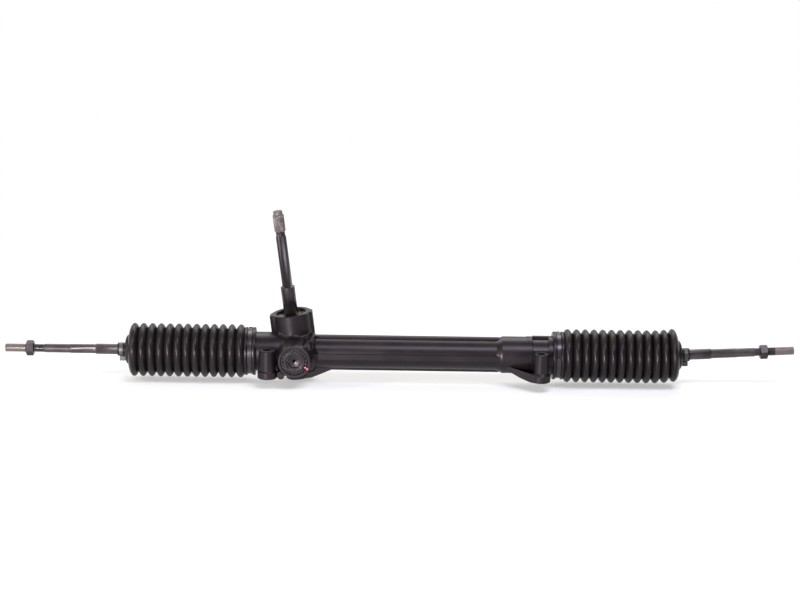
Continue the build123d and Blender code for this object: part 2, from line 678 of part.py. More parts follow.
def tooth_comb():
    """Cutter for the rack's flat and its tooth spaces, along the slant of the teeth."""
    flank = tan(radians(PRESSURE_ANGLE))
    at_datum = (NORMAL_PITCH / 2 + TOOTH_PLAY) / 2
    at_tip = at_datum + (RACK_TIP - RACK_DATUM) * flank
    at_root = at_datum - (RACK_DATUM - RACK_ROOT) * flank
    clear = RACK_RADIUS + 1
    reach = (RACK_SPACES / 2 + 0.3) * NORMAL_PITCH
    run_out = clear - RACK_TIP
    points = [(-reach - run_out, clear), (-reach, RACK_TIP)]
    for i in range(RACK_SPACES):
        middle = (i - (RACK_SPACES - 1) / 2) * NORMAL_PITCH
        points += [(middle - at_tip, RACK_TIP), (middle - at_root, RACK_ROOT)]
        points += [(middle + at_root, RACK_ROOT), (middle + at_tip, RACK_TIP)]
    points += [(reach, RACK_TIP), (reach + run_out, clear)]
    slant = radians(TOOTH_SLANT)
    along_teeth = Plane(
        origin=(PINION_X, 0, 0),
        x_dir=(cos(slant), 0, -sin(slant)),
        z_dir=(sin(slant), 0, cos(slant)),
    )
    return prism(along_teeth, points, 6 * RACK_RADIUS)


def rack_bar():
    """Toothed bar with a threaded spigot at each end for the ball sockets."""
    bevel = 1.0
    bar_start, bar_end = MID - BAR_REACH, MID + BAR_REACH
    bar = RACK_LINE * turned(
        (bar_start - SPIGOT_LENGTH, SPIGOT_RADIUS - bevel),
        (bar_start - SPIGOT_LENGTH + bevel, SPIGOT_RADIUS),
        (bar_start, SPIGOT_RADIUS),
        (bar_start, RACK_RADIUS - bevel),
        (bar_start + bevel, RACK_RADIUS),
        (bar_end - bevel, RACK_RADIUS),
        (bar_end, RACK_RADIUS - bevel),
        (bar_end, SPIGOT_RADIUS),
        (bar_end + SPIGOT_LENGTH - bevel, SPIGOT_RADIUS),
        (bar_end + SPIGOT_LENGTH, SPIGOT_RADIUS - bevel),
    )
    return bar - tooth_comb()


# ---------------------------------------------------------------- pinion bearings


PITCH_CIRCLE = (BEARING_BORE + BEARING_DIAMETER) / 4
RACE_RADIUS = BALL_DIAMETER / 2 + SLIDING_FIT
INNER_LAND = PITCH_CIRCLE - BALL_DIAMETER / 4
OUTER_LAND = PITCH_CIRCLE + BALL_DIAMETER / 4


def ball_track():
    """Round groove that the balls run in."""
    return Pos(0, 0, BEARING_SEAT + BEARING_WIDTH / 2) * Torus(PITCH_CIRCLE, RACE_RADIUS)


def bearing_ring(inside, outside):
    """One ring of the bearing, with its ball groove."""
    bevel = 0.6
    low, high = BEARING_SEAT, BEARING_TOP
    body = rod(outside, low, high) - rod(inside, low - 1, high + 1)
    if outside > PITCH_CIRCLE:
        body = chamfer(body.edges().filter_by(GeomType.CIRCLE).sort_by(SortBy.RADIUS)[-2:], bevel)
    return PINION_LINE * (body - ball_track())


def bearing_balls():
    """The balls, evenly round the track."""
    ball = Pos(PITCH_CIRCLE, 0, BEARING_SEAT + BEARING_WIDTH / 2) * Sphere(BALL_DIAMETER / 2)
    balls = [Rot(0, 0, 360 * i / BEARING_BALLS) * ball for i in range(BEARING_BALLS)]
    return PINION_LINE * Compound(balls)


def bearing_cage():
    """Moulded cage that keeps the balls apart, open towards the top."""
    middle = BEARING_SEAT + BEARING_WIDTH / 2
    low, high = BEARING_SEAT + CAGE_INSET, middle + CAGE_LIP
    body = rod(PITCH_CIRCLE + CAGE_WALL / 2, low, high) - rod(PITCH_CIRCLE - CAGE_WALL / 2, low - 1, high + 1)
    pocket = Pos(PITCH_CIRCLE, 0, middle) * Sphere(RACE_RADIUS)
    body -= [Rot(0, 0, 360 * i / BEARING_BALLS) * pocket for i in range(BEARING_BALLS)]
    return PINION_LINE * body


def bearing_seals():
    """Two thin rubber-faced shields between the rings."""
    inside = INNER_LAND + SLIDING_FIT
    thickness = 0.8
    seal = rod(OUTER_LAND, 0, thickness) - rod(inside, -1, 2)
    lower = Pos(0, 0, BEARING_SEAT + 0.3) * seal
    upper = Pos(0, 0, BEARING_TOP - 0.3 - thickness) * seal
    return PINION_LINE * Compound([lower.solid(), upper.solid()])


def open_ring(inside, outside, thickness, gap):
    """Flat ring with a gap of some degrees at its -Y side."""
    flat = rod(outside, 0, thickness) - rod(inside, -1, thickness + 1)
    reach = 2 * outside
    half = radians(gap / 2)
    wedge = [(0, 0), (reach * sin(half), -reach * cos(half)), (-reach * sin(half), -reach * cos(half))]
    return flat - extrude(make_face(Polyline(*wedge, close=True)), thickness)


def pinion_circlip():
    """Internal ring over the bearing's outer ring, with its two eyes turned to the back."""
    outside = TOWER_BORE + CIRCLIP_GROOVE_DEPTH - SLIDING_FIT
    inside = outside - CIRCLIP_WIDTH
    clip = open_ring(inside, outside, CIRCLIP_THICKNESS, CIRCLIP_GAP)
    eye_turn = CIRCLIP_GAP / 2 + 5
    for turn in (-eye_turn, eye_turn):
        eye = rod(1.9, 0, CIRCLIP_THICKNESS) - rod(0.8, -1, CIRCLIP_THICKNESS + 1)
        clip += Rot(0, 0, turn) * Pos(0, -inside, 0) * eye
    return PINION_LINE * Pos(0, 0, BEARING_TOP + 2 * SEATED_FIT) * Rot(0, 0, 180) * clip


def pinion_snap_ring():
    """External ring over the bearing's inner ring, in the shaft's groove."""
    inside = SHAFT_RADIUS - SNAP_RING_GROOVE_DEPTH + SEATED_FIT
    clip = open_ring(inside, inside + SNAP_RING_WIDTH, SNAP_RING_THICKNESS - SEATED_FIT, SNAP_RING_GAP)
    return PINION_LINE * Pos(0, 0, BEARING_TOP + SEATED_FIT * 1.5) * Rot(0, 0, 100) * clip


def pinion_lower_bush():
    """Plain bush in the blind boss."""
    low = -LOWER_JOURNAL_START - LOWER_JOURNAL_LENGTH
    body = rod(LOWER_BUSH_RADIUS - SEATED_FIT, low, -LOWER_JOURNAL_START)
    return PINION_LINE * (body - rod(LOWER_JOURNAL_RADIUS + SLIDING_FIT, low - 1, 0))


# ---------------------------------------------------------------- yoke group


def yoke():
    """Sliding block whose saddle presses on the back of the rack."""
    bevel = 0.8
    body = turned(
        (YOKE_BACK, YOKE_RADIUS),
        (YOKE_FRONT - bevel, YOKE_RADIUS),
        (YOKE_FRONT, YOKE_RADIUS - bevel),
    )
    section = YOKE_RING_SECTION
    groove_floor = YOKE_RADIUS + SLIDING_FIT - 2 * section
    body -= ring(
        (YOKE_RING_PLACE - section - 0.1, groove_floor),
        (YOKE_RING_PLACE + section + 0.1, groove_floor),
        (YOKE_RING_PLACE + section + 0.1, YOKE_RADIUS + 1),
        (YOKE_RING_PLACE - section - 0.1, YOKE_RADIUS + 1),
    )
    body -= rod(YOKE_POCKET_RADIUS, YOKE_FRONT - YOKE_POCKET_DEPTH, YOKE_FRONT + 1)
    saddle = RACK_LINE * rod(RACK_RADIUS + SLIDING_FIT, 0, 2 * PINION_X)
    return YOKE_LINE * body - saddle


def yoke_ring():
    """Rubber ring round the yoke, which stops it rattling."""
    section = YOKE_RING_SECTION
    return YOKE_LINE * Pos(0, 0, YOKE_RING_PLACE) * Torus(YOKE_RADIUS + SLIDING_FIT - section, section - 0.01)


def yoke_spring():
    """Coil spring between the yoke's pocket and the plug."""
    start = YOKE_FRONT - YOKE_POCKET_DEPTH + SPRING_WIRE / 2 + SLIDING_FIT
    end = PLUG_BACK - SPRING_WIRE / 2 - SLIDING_FIT
    height = end - start
    path = Helix(height / SPRING_TURNS, height, SPRING_RADIUS)
    wire = Plane(origin=path @ 0, z_dir=path % 0) * Circle(SPRING_WIRE / 2)
    return YOKE_LINE * Pos(0, 0, start) * sweep(wire, path)


def adjuster_plug():
    """Threaded plug with a dished face, a hexagon socket and a drilled centre."""
    body = turned(
        (PLUG_BACK, PLUG_RADIUS - 1),
        (PLUG_BACK + 1, PLUG_RADIUS),
        (PLUG_FACE - 0.6, PLUG_RADIUS),
        (PLUG_FACE, PLUG_RADIUS - 0.6),
    )
    body -= turned(
        (PLUG_FACE - PLUG_DISH, PLUG_RADIUS - PLUG_RIM - PLUG_DISH),
        (PLUG_FACE, PLUG_RADIUS - PLUG_RIM),
        (PLUG_FACE + 1, PLUG_RADIUS - PLUG_RIM),
    )
    socket_floor = PLUG_FACE - PLUG_SOCKET_DEPTH
    hexagon = RegularPolygon(PLUG_SOCKET_FLATS / 2, 6, major_radius=False, rotation=8)
    body -= Pos(0, 0, socket_floor) * extrude(hexagon, PLUG_SOCKET_DEPTH)
    body -= turned(
        (socket_floor - PLUG_SOCKET_CONE, PLUG_CENTRE_HOLE),
        (socket_floor, PLUG_SOCKET_FLATS / 2 - 0.3),
        (socket_floor + 1, PLUG_SOCKET_FLATS / 2 - 0.3),
    )
    body -= rod(PLUG_CENTRE_HOLE, PLUG_BACK + 4, PLUG_FACE)
    return YOKE_LINE * body


def lock_ring():
    """Ring that locks the plug, slotted in its face for a pin spanner."""
    start = LOCK_RING_SEAT + SEATED_FIT
    end = start + LOCK_RING_THICKNESS
    bevel = 0.5
    body = turned((start, LOCK_RING_RADIUS), (end - bevel, LOCK_RING_RADIUS), (end, LOCK_RING_RADIUS - bevel))
    body -= rod(PLUG_RADIUS + SEATED_FIT, start - 1, end + 1)
    half = LOCK_SLOT_WIDTH / 2
    slot = block((PLUG_RADIUS - 1, -half, end - LOCK_SLOT_DEPTH), (LOCK_SLOT_REACH, half, end + 1))
    slots = [Rot(0, 0, 360 * i / LOCK_RING_SLOTS) * slot for i in range(LOCK_RING_SLOTS)]
    return YOKE_LINE * (body - slots)


# ---------------------------------------------------------------- plain end bush


def ring_places():
    return [BUSH_START + BUSH_RING_INSET, BUSH_END - BUSH_RING_INSET]


def rack_bush():
    """Slit plastic bush with two grooves for its rubber rings."""
    body = rod(BUSH_RADIUS - SEATED_FIT, BUSH_START + SEATED_FIT, BUSH_END)
    body -= rod(RACK_RADIUS + SLIDING_FIT, BUSH_START - 1, BUSH_END + 1)
    section = BUSH_RING_SECTION
    for place in ring_places():
        body -= ring(
            (place - section, BUSH_RADIUS - 2 * section),
            (place + section, BUSH_RADIUS - 2 * section),
            (place + section, BUSH_RADIUS + 1),
            (place - section, BUSH_RADIUS + 1),
        )
    half = BUSH_SLIT / 2
    slit = block((-BUSH_RADIUS, -half, BUSH_START - 1), (0, half, BUSH_END + 1))
    return RACK_LINE * (body - slit)


def rack_bush_rings():
    """The bush's two rubber rings."""
    section = BUSH_RING_SECTION - 0.01
    rings = [Pos(0, 0, place) * Torus(BUSH_RADIUS - BUSH_RING_SECTION, section) for place in ring_places()]
    return RACK_LINE * Compound(rings)


# ---------------------------------------------------------------- inner ball joints


def lock_washer(side):
    """Washer between the bar and the socket, its tab bent over the socket's flat."""
    end = SOCKET_START
    body = rod(WASHER_RADIUS, BAR_REACH + SEATED_FIT, end)
    body -= rod(SPIGOT_RADIUS + SLIDING_FIT, BAR_REACH - 1, end + 1)
    half = SOCKET_FLATS / 2 + SEATED_FIT
    tab = block((half, -WASHER_TAB / 2, end - 1), (half + 2, WASHER_TAB / 2, end + WASHER_TAB))
    return side_line(side) * (body + tab)


def ball_socket(side):
    """Steel socket screwed on the bar's spigot, open towards the tie rod."""
    start = SOCKET_START + SEATED_FIT
    end = BALL_CENTRE + SOCKET_NOSE
    bevel = 1.5
    body = turned(
        (start, SOCKET_RADIUS - bevel),
        (start + bevel, SOCKET_RADIUS),
        (end - bevel, SOCKET_RADIUS),
        (end, SOCKET_RADIUS - bevel),
    )
    flat_end = start + SOCKET_FLAT_LENGTH
    flat = block((SOCKET_FLATS / 2, -SOCKET_RADIUS, start), (SOCKET_RADIUS + 1, SOCKET_RADIUS, flat_end))
    body -= [flat, Rot(0, 0, 180) * flat]
    mouth = CONE_SWING + asin(ROD_NECK_RADIUS / SOCKET_CAVITY) + radians(MOUTH_MARGIN)
    body -= Pos(0, 0, BALL_CENTRE) * Sphere(SOCKET_CAVITY)
    body -= turned((BALL_CENTRE, 0.01), (end + 1, (SOCKET_NOSE + 1) * tan(mouth)))
    body -= rod(SPIGOT_RADIUS + SEATED_FIT, start - 1, BAR_REACH + SPIGOT_LENGTH + 0.5)
    return side_line(side) * body


def ball_seat(side):
    """Plastic cup between the ball and the socket."""
    inside = BALL_RADIUS + SLIDING_FIT
    opening = radians(SWING + MOUTH_MARGIN) + asin(ROD_NECK_RADIUS / inside)
    reach = SEAT_RADIUS_OUTSIDE + 1
    body = Sphere(SEAT_RADIUS_OUTSIDE) - Sphere(inside)
    body -= turned((0, 0.01), (reach, reach * tan(opening)))
    return side_line(side) * Pos(0, 0, BALL_CENTRE) * body


def tie_rod(side):
    """Ball stud and tie rod in one piece, with spanner flats and a threaded end."""
    tip = ROD_LENGTH[side]
    neck = ROD_NECK_LENGTH
    shank = ROD_SHANK_LENGTH
    flats_end = shank + ROD_FLATS_LENGTH
    thread = tip - THREAD_LENGTH
    bare = tip - NUT_PLACE[side] + SEATED_FIT
    body = Sphere(BALL_RADIUS) + turned(
        (0, ROD_NECK_RADIUS),
        (neck, ROD_NECK_RADIUS),
        (neck + ROD_CONE_LENGTH, ROD_SHANK_RADIUS),
        (shank, ROD_SHANK_RADIUS),
        (shank + 1.5, ROD_FLATS_RADIUS),
        (flats_end, ROD_FLATS_RADIUS),
        (flats_end + 1, ROD_RADIUS),
        (thread - 2, ROD_RADIUS),
        (thread, NUTTED_THREAD_RADIUS),
        (bare, NUTTED_THREAD_RADIUS),
        (bare, THREAD_RADIUS),
        (tip - TIP_CHAMFER, THREAD_RADIUS),
        (tip, THREAD_RADIUS - TIP_CHAMFER),
    )
    half = ROD_FLATS / 2
    flat = block((-ROD_SHANK_RADIUS, half, shank), (ROD_SHANK_RADIUS, ROD_SHANK_RADIUS + 1, flats_end))
    return rod_line(side) * (body - flat - Rot(0, 0, 180) * flat)


def lock_nut(side):
    """Hexagon nut on the rod's thread, its corners turned off at both ends."""
    outer = ROD_LENGTH[side] - NUT_PLACE[side]
    inner = outer - NUT_THICKNESS
    hexagon = RegularPolygon(NUT_FLATS / 2, 6, major_radius=False, rotation=20)
    body = Pos(0, 0, inner) * extrude(hexagon, NUT_THICKNESS)
    corner = NUT_FLATS / 2 / cos(pi / 6)
    bevel = 1.2
    body &= turned(
        (inner, corner - 2 * bevel),
        (inner + bevel, corner),
        (outer - bevel, corner),
        (outer, corner - 2 * bevel),
    )
    body -= rod(NUTTED_THREAD_RADIUS + SEATED_FIT, inner - 1, outer + 1)
    return rod_line(side) * body


# ---------------------------------------------------------------- boots and their clamps


def fold_line(thinner):
    """(reach, radius) corners of the folds, drawn in by the rubber's thickness."""
    start = CUFF_START + CUFF_LENGTH + FIRST_FOLD_LENGTH
    pitch = (FOLD_END - start) / FOLD_COUNT
    corners = []
    for i in range(FOLD_COUNT):
        corners.append((start + i * pitch, FOLD_ROOT - thinner))
        corners.append((start + (i + 0.5) * pitch, FOLD_PEAK - thinner))
    return corners


def boot(side):
    """Rubber bellows from the housing's neck to the tie rod."""
    cuff_end = CUFF_START + CUFF_LENGTH
    bulge = cuff_end + FIRST_FOLD_LENGTH / 2
    outside = turned(
        (CUFF_START, CUFF_RIB_RADIUS),
        (CUFF_START + CUFF_RIB_WIDTH, CUFF_RIB_RADIUS),
        (CUFF_START + CUFF_RIB_WIDTH, CUFF_RADIUS),
        (cuff_end - CUFF_RIB_WIDTH, CUFF_RADIUS),
        (cuff_end - CUFF_RIB_WIDTH, CUFF_RIB_RADIUS),
        (cuff_end, CUFF_RIB_RADIUS),
        (bulge, FOLD_PEAK),
        *fold_line(0),
        (FOLD_END, DOME_RADIUS + 1),
    )
    inside = turned(
        (CUFF_START - 1, SEAT_RADIUS + SEATED_FIT),
        (cuff_end - SEATED_FIT, SEAT_RADIUS + SEATED_FIT),
        (cuff_end - SEATED_FIT, NECK_RADIUS + SOFT_GAP),
        (cuff_end + 1, CUFF_RIB_RADIUS - BOOT_WALL),
        (bulge, FOLD_PEAK - BOOT_WALL),
        *fold_line(BOOT_WALL),
        (FOLD_END - BOOT_WALL, DOME_RADIUS + 1),
    )
    dome, shoulder, end = FOLD_REACH, DOME_REACH, SMALL_CUFF_REACH
    strap_low = end - STRAP_INSET - STRAP_WIDTH / 2
    strap_high = end - STRAP_INSET + STRAP_WIDTH / 2
    strap_floor = SMALL_CUFF_RADIUS - STRAP_GROOVE_DEPTH
    nose = turned(
        (dome - BOOT_WALL / 2, DOME_RADIUS),
        (dome + 3, DOME_RADIUS),
        (shoulder, SMALL_CUFF_RADIUS + 4),
        (shoulder, SMALL_CUFF_RADIUS),
        (strap_low, SMALL_CUFF_RADIUS),
        (strap_low, strap_floor),
        (strap_high, strap_floor),
        (strap_high, SMALL_CUFF_RADIUS),
        (end, SMALL_CUFF_RADIUS),
    )
    throat = turned(
        (dome - 4, DOME_RADIUS - BOOT_WALL),
        (dome + 2, DOME_RADIUS - BOOT_WALL),
        (shoulder - BOOT_WALL, SMALL_CUFF_RADIUS),
        (shoulder - BOOT_WALL, ROD_SHANK_RADIUS + SOFT_GAP),
        (end + 1, ROD_SHANK_RADIUS + SOFT_GAP),
    )
    line, rods = side_line(side), rod_line(side)
    return line * outside - line * inside + rods * nose - rods * throat


def large_band(side):
    """Steel band round the boot's large cuff, with its crimped ear at the back."""
    middle = CUFF_START + CUFF_LENGTH / 2
    low, high = middle - BAND_WIDTH / 2, middle + BAND_WIDTH / 2
    inside = CUFF_RADIUS + SEATED_FIT
    length, height = BAND_EAR
    ear = block((-length / 2, inside, low), (length / 2, inside + height, high))
    body = rod(inside + BAND_THICKNESS, low, high) + ear
    body -= rod(inside, low - 1, high + 1)
    turn = 60 * OUTWARDS[side]
    return side_line(side) * Rot(0, 0, turn if side == "right" else turn + 180) * body


def small_strap(side):
    """Plastic strap round the small cuff, its head hanging below."""
    middle = SMALL_CUFF_REACH - STRAP_INSET
    low, high = middle - STRAP_WIDTH / 2 + SEATED_FIT, middle + STRAP_WIDTH / 2 - SEATED_FIT
    inside = SMALL_CUFF_RADIUS - STRAP_GROOVE_DEPTH + SEATED_FIT
    length, width, height = STRAP_HEAD
    under = SMALL_CUFF_RADIUS + SEATED_FIT
    head = block((under, -width / 2, high - length), (under + height, width / 2, high))
    body = rod(inside + STRAP_THICKNESS, low, high) + head
    return rod_line(side) * (body - rod(inside, low - 1, high + 1))


# ---------------------------------------------------------------- writing


def pieces():
    """Every sub-part by its node name, in the rack frame."""
    made = {
        "housing": housing(),
        "rack_bar": rack_bar(),
        "pinion_shaft": pinion_shaft(),
        "bearing_outer_ring": bearing_ring(OUTER_LAND, TOWER_BORE - SEATED_FIT),
        "bearing_inner_ring": bearing_ring(SHAFT_RADIUS + SEATED_FIT, INNER_LAND),
        "bearing_balls": bearing_balls(),
        "bearing_cage": bearing_cage(),
        "bearing_seals": bearing_seals(),
        "pinion_circlip": pinion_circlip(),
        "pinion_snap_ring": pinion_snap_ring(),
        "pinion_lower_bush": pinion_lower_bush(),
        "yoke": yoke(),
        "yoke_ring": yoke_ring(),
        "yoke_spring": yoke_spring(),
        "adjuster_plug": adjuster_plug(),
        "lock_ring": lock_ring(),
        "rack_bush": rack_bush(),
        "rack_bush_rings": rack_bush_rings(),
    }
    for side in OUTWARDS:
        made[side + "_lock_washer"] = lock_washer(side)
        made[side + "_ball_socket"] = ball_socket(side)
        made[side + "_ball_seat"] = ball_seat(side)
        made[side + "_tie_rod"] = tie_rod(side)
        made[side + "_lock_nut"] = lock_nut(side)
        made[side + "_boot"] = boot(side)
        made[side + "_boot_band"] = large_band(side)
        made[side + "_boot_strap"] = small_strap(side)
    return made


os.makedirs("parts", exist_ok=True)
TO_SEAT = Pos(0, MOUNT_OFFSET, SEAT_DROP)
for name, shape in pieces().items():
    export_step(TO_SEAT * shape, f"parts/{name}.step")
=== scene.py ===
import json
from math import cos, pi, radians, sin

import bmesh
import bpy
from mathutils import Matrix, Vector
from mathutils.bvhtree import BVHTree

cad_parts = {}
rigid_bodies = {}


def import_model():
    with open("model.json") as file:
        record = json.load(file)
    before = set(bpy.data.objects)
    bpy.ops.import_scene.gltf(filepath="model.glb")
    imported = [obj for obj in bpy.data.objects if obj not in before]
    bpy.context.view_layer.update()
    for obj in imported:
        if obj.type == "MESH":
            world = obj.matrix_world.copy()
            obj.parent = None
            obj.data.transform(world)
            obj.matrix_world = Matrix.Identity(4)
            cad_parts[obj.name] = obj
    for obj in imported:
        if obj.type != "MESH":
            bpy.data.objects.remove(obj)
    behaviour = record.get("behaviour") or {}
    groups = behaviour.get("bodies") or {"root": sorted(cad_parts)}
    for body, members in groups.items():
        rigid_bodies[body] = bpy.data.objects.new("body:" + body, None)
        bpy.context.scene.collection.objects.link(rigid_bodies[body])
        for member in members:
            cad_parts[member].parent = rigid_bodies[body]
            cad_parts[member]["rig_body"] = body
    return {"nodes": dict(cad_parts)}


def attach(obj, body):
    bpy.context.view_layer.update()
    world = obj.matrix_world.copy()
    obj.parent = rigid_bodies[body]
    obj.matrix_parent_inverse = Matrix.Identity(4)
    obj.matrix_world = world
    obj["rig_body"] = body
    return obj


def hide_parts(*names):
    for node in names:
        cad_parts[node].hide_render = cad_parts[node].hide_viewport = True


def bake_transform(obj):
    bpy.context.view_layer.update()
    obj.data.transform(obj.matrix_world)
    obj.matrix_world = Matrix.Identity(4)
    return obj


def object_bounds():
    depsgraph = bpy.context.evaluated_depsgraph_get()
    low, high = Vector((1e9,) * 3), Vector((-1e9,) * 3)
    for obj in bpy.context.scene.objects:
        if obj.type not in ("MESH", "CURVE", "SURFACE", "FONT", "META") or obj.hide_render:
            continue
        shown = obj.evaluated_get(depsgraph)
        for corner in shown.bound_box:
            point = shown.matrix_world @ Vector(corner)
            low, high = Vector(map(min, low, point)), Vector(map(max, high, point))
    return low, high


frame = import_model()
cad_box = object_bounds()
nodes = frame["nodes"]
MM = 0.001
WELD = 2e-6  # vertices nearer than this are one

# ---------------------------------------------------------------- housing
# One aluminium casting carries the rack, the pinion and the yoke. Its skin is stoved black enamel over
# the fine grain of the casting, a little browner where the coat is thin, and slightly uneven in gloss.


def finish_of(name, main, second, patch, rough, spread, grain, depth, metal=0.0, specular=0.5,
              stretch=(1, 1, 1), tint=(1, 1, 1)):
    """Material with patchy colour, uneven gloss and a fine grain, by Object coordinates in metres."""
    material = bpy.data.materials.new(name)
    material.use_nodes = True
    tree = material.node_tree
    shader = tree.nodes["Principled BSDF"]
    shader.inputs["Metallic"].default_value = metal
    shader.inputs["Specular IOR Level"].default_value = specular
    shader.inputs["Specular Tint"].default_value = (*tint, 1)
    place = tree.nodes.new("ShaderNodeTexCoord")
    mapping = tree.nodes.new("ShaderNodeMapping")
    mapping.inputs["Scale"].default_value = stretch
    tree.links.new(place.outputs["Object"], mapping.inputs["Vector"])
    patches = tree.nodes.new("ShaderNodeTexNoise")
    patches.inputs["Scale"].default_value = 1 / patch
    patches.inputs["Detail"].default_value = 6
    tree.links.new(mapping.outputs["Vector"], patches.inputs["Vector"])
    ramp = tree.nodes.new("ShaderNodeValToRGB")
    ramp.color_ramp.elements[0].position = 0.35
    ramp.color_ramp.elements[0].color = (*main, 1)
    ramp.color_ramp.elements[1].position = 0.75
    ramp.color_ramp.elements[1].color = (*second, 1)
    tree.links.new(patches.outputs["Fac"], ramp.inputs["Fac"])
    tree.links.new(ramp.outputs["Color"], shader.inputs["Base Color"])
    gloss = tree.nodes.new("ShaderNodeMapRange")
    gloss.inputs["To Min"].default_value = rough - spread
    gloss.inputs["To Max"].default_value = rough + spread
    tree.links.new(patches.outputs["Fac"], gloss.inputs["Value"])
    tree.links.new(gloss.outputs["Result"], shader.inputs["Roughness"])
    fine = tree.nodes.new("ShaderNodeTexNoise")
    fine.inputs["Scale"].default_value = 1 / grain
    fine.inputs["Detail"].default_value = 3
    tree.links.new(mapping.outputs["Vector"], fine.inputs["Vector"])
    bump = tree.nodes.new("ShaderNodeBump")
    bump.inputs["Strength"].default_value = 0.6
    bump.inputs["Distance"].default_value = depth
    tree.links.new(fine.outputs["Fac"], bump.inputs["Height"])
    tree.links.new(bump.outputs["Normal"], shader.inputs["Normal"])
    return material


BLACK_SHEEN = (1.0, 0.86, 0.98)  # black enamel and rubber shine a little purple
enamel = finish_of("black_enamel", (0.0036, 0.0029, 0.0033), (0.0078, 0.0056, 0.0058), patch=0.030,
                   rough=0.35, spread=0.06, grain=0.0012, depth=0.00006, specular=0.23, tint=BLACK_SHEEN)

ALONG, FORWARD, UP = Vector((1, 0, 0)), Vector((0, -1, 0)), Vector((0, 0, 1))
BOLT_FOOT = Vector((0, 0, 0))
PINION_X = 38
RACK_FOOT = Vector((0, 36, 28)) * MM
YOKE_FOOT = Vector((PINION_X, 36, 28)) * MM
GEAR_CENTRES = 14.7306  # from the rack's axis back to the pinion's
PINION_FOOT = Vector((PINION_X, 36 + GEAR_CENTRES, 28)) * MM
PINION_LEAN = radians(7.5)
UP_THE_SHAFT = Vector((-sin(PINION_LEAN), 0, cos(PINION_LEAN)))
FILLET_SPAN = (12.5, 66.0)  # along the rack, from the near boss to the end of the gear case
FILLET_RADIUS = 2.3
FILLET_DEPTH = 0.30  # how far the rounded skin lies under the casting's own skin
CASTING_VOXEL = 1.2 * MM
EDGE_RADIUS = 0.6


def upright(foot, direction, side=(0, 1, 0)):
    """Places a mesh drawn up the Z axis along a line."""
    up = Vector(direction).normalized()
    across = Vector(side) - up * up.dot(Vector(side))
    across.normalize()
    return Matrix.Translation(foot) @ Matrix((across, up.cross(across), up)).transposed().to_4x4()


def welded(node):
    """Copy of a CAD node's mesh with its loose triangles joined."""
    work = bmesh.new()
    work.from_mesh(nodes[node].data)
    bmesh.ops.remove_doubles(work, verts=work.verts, dist=WELD)
    return work


def kept_beyond(work, point, direction):
    """Cuts the mesh at a plane, keeps what lies along the direction and closes the cut."""
    everything = work.verts[:] + work.edges[:] + work.faces[:]
    cut = bmesh.ops.bisect_plane(work, geom=everything, plane_co=point, plane_no=direction, clear_inner=True)
    edges = [item for item in cut["geom_cut"] if isinstance(item, bmesh.types.BMEdge)]
    bmesh.ops.holes_fill(work, edges=edges, sides=0)
    return work


def piece_from(work, name, material, sharp=32):
    """Piece made of a finished mesh, smooth but for its sharp edges."""
    mesh = bpy.data.meshes.new(name)
    work.to_mesh(mesh)
    work.free()
    mesh.materials.append(material)
    mesh.shade_smooth()
    mesh.set_sharp_from_angle(angle=radians(sharp))
    piece = bpy.data.objects.new(name, mesh)
    bpy.context.scene.collection.objects.link(piece)
    return piece


def bar(foot, direction, low, high, radius):
    """Closed cylinder along a line, between two reaches from its foot, in millimetres."""
    work = bmesh.new()
    place = upright(foot, direction) @ Matrix.Translation((0, 0, (low + high) / 2 * MM))
    bmesh.ops.create_cone(work, cap_ends=True, segments=72, radius1=radius * MM, radius2=radius * MM,
                          depth=(high - low) * MM, matrix=place)
    bmesh.ops.recalc_face_normals(work, faces=work.faces)
    return work


def settled(piece):
    """Applies a piece's modifiers to its mesh."""
    graph = bpy.context.evaluated_depsgraph_get()
    mesh = bpy.data.meshes.new_from_object(piece.evaluated_get(graph))
    piece.modifiers.clear()
    piece.data = mesh


def cut_away(piece, *tools):
    """Takes closed meshes out of a piece and throws the tools away."""
    for tool in tools:
        tool_piece = piece_from(tool, "tool", enamel)
        cut = piece.modifiers.new("cut", "BOOLEAN")
        cut.object = tool_piece
        cut.solver = "EXACT"
        settled(piece)
        bpy.data.objects.remove(tool_piece)


def eased(node, material, width):
    """A CAD node's own shape with its sharp edges broken by a small bevel, standing in for the node."""
    work = welded(node)
    bmesh.ops.dissolve_limit(work, angle_limit=radians(0.3), verts=work.verts, edges=work.edges)
    piece = piece_from(work, node + "_eased", material, sharp=180)
    bevel = piece.modifiers.new("edges", "BEVEL")
    bevel.width = width * MM
    bevel.segments = 2
    bevel.limit_method = "ANGLE"
    bevel.angle_limit = radians(35)
    bevel.miter_outer = "MITER_ARC"
    flat = piece.modifiers.new("flats", "WEIGHTED_NORMAL")
    flat.weight = 80
    settled(piece)
    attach(piece, nodes[node]["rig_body"])
    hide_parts(node)


def casting_fillets(name, plugs, bores):
    """Skin just under the casting's own, swollen and shrunk so that it rounds the hollow corners."""
    work = welded("housing")
    for plug in plugs:
        solid = bpy.data.meshes.new("plug")
        plug.to_mesh(solid)
        plug.free()
        work.from_mesh(solid)
    start, end = FILLET_SPAN
    work = kept_beyond(work, ALONG * (start * MM), ALONG)
    work = kept_beyond(work, ALONG * (end * MM), -ALONG)
    piece = piece_from(work, name, enamel, sharp=60)
    for swell in (FILLET_RADIUS, -FILLET_RADIUS - FILLET_DEPTH, None):
        voxels = piece.modifiers.new("voxels", "REMESH")
        voxels.mode = "VOXEL"
        voxels.voxel_size = CASTING_VOXEL
        if swell is not None:
            moved = piece.modifiers.new("swell", "DISPLACE")
            moved.strength = swell * MM
            moved.mid_level = 0.0
    soft = piece.modifiers.new("soft", "SMOOTH")
    soft.factor = 0.5
    soft.iterations = 4
    settled(piece)
    cut_away(piece, *bores)
    piece.data.shade_smooth()
    piece.data.set_sharp_from_angle(angle=radians(50))
    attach(piece, "housing")


eased("housing", enamel, EDGE_RADIUS)
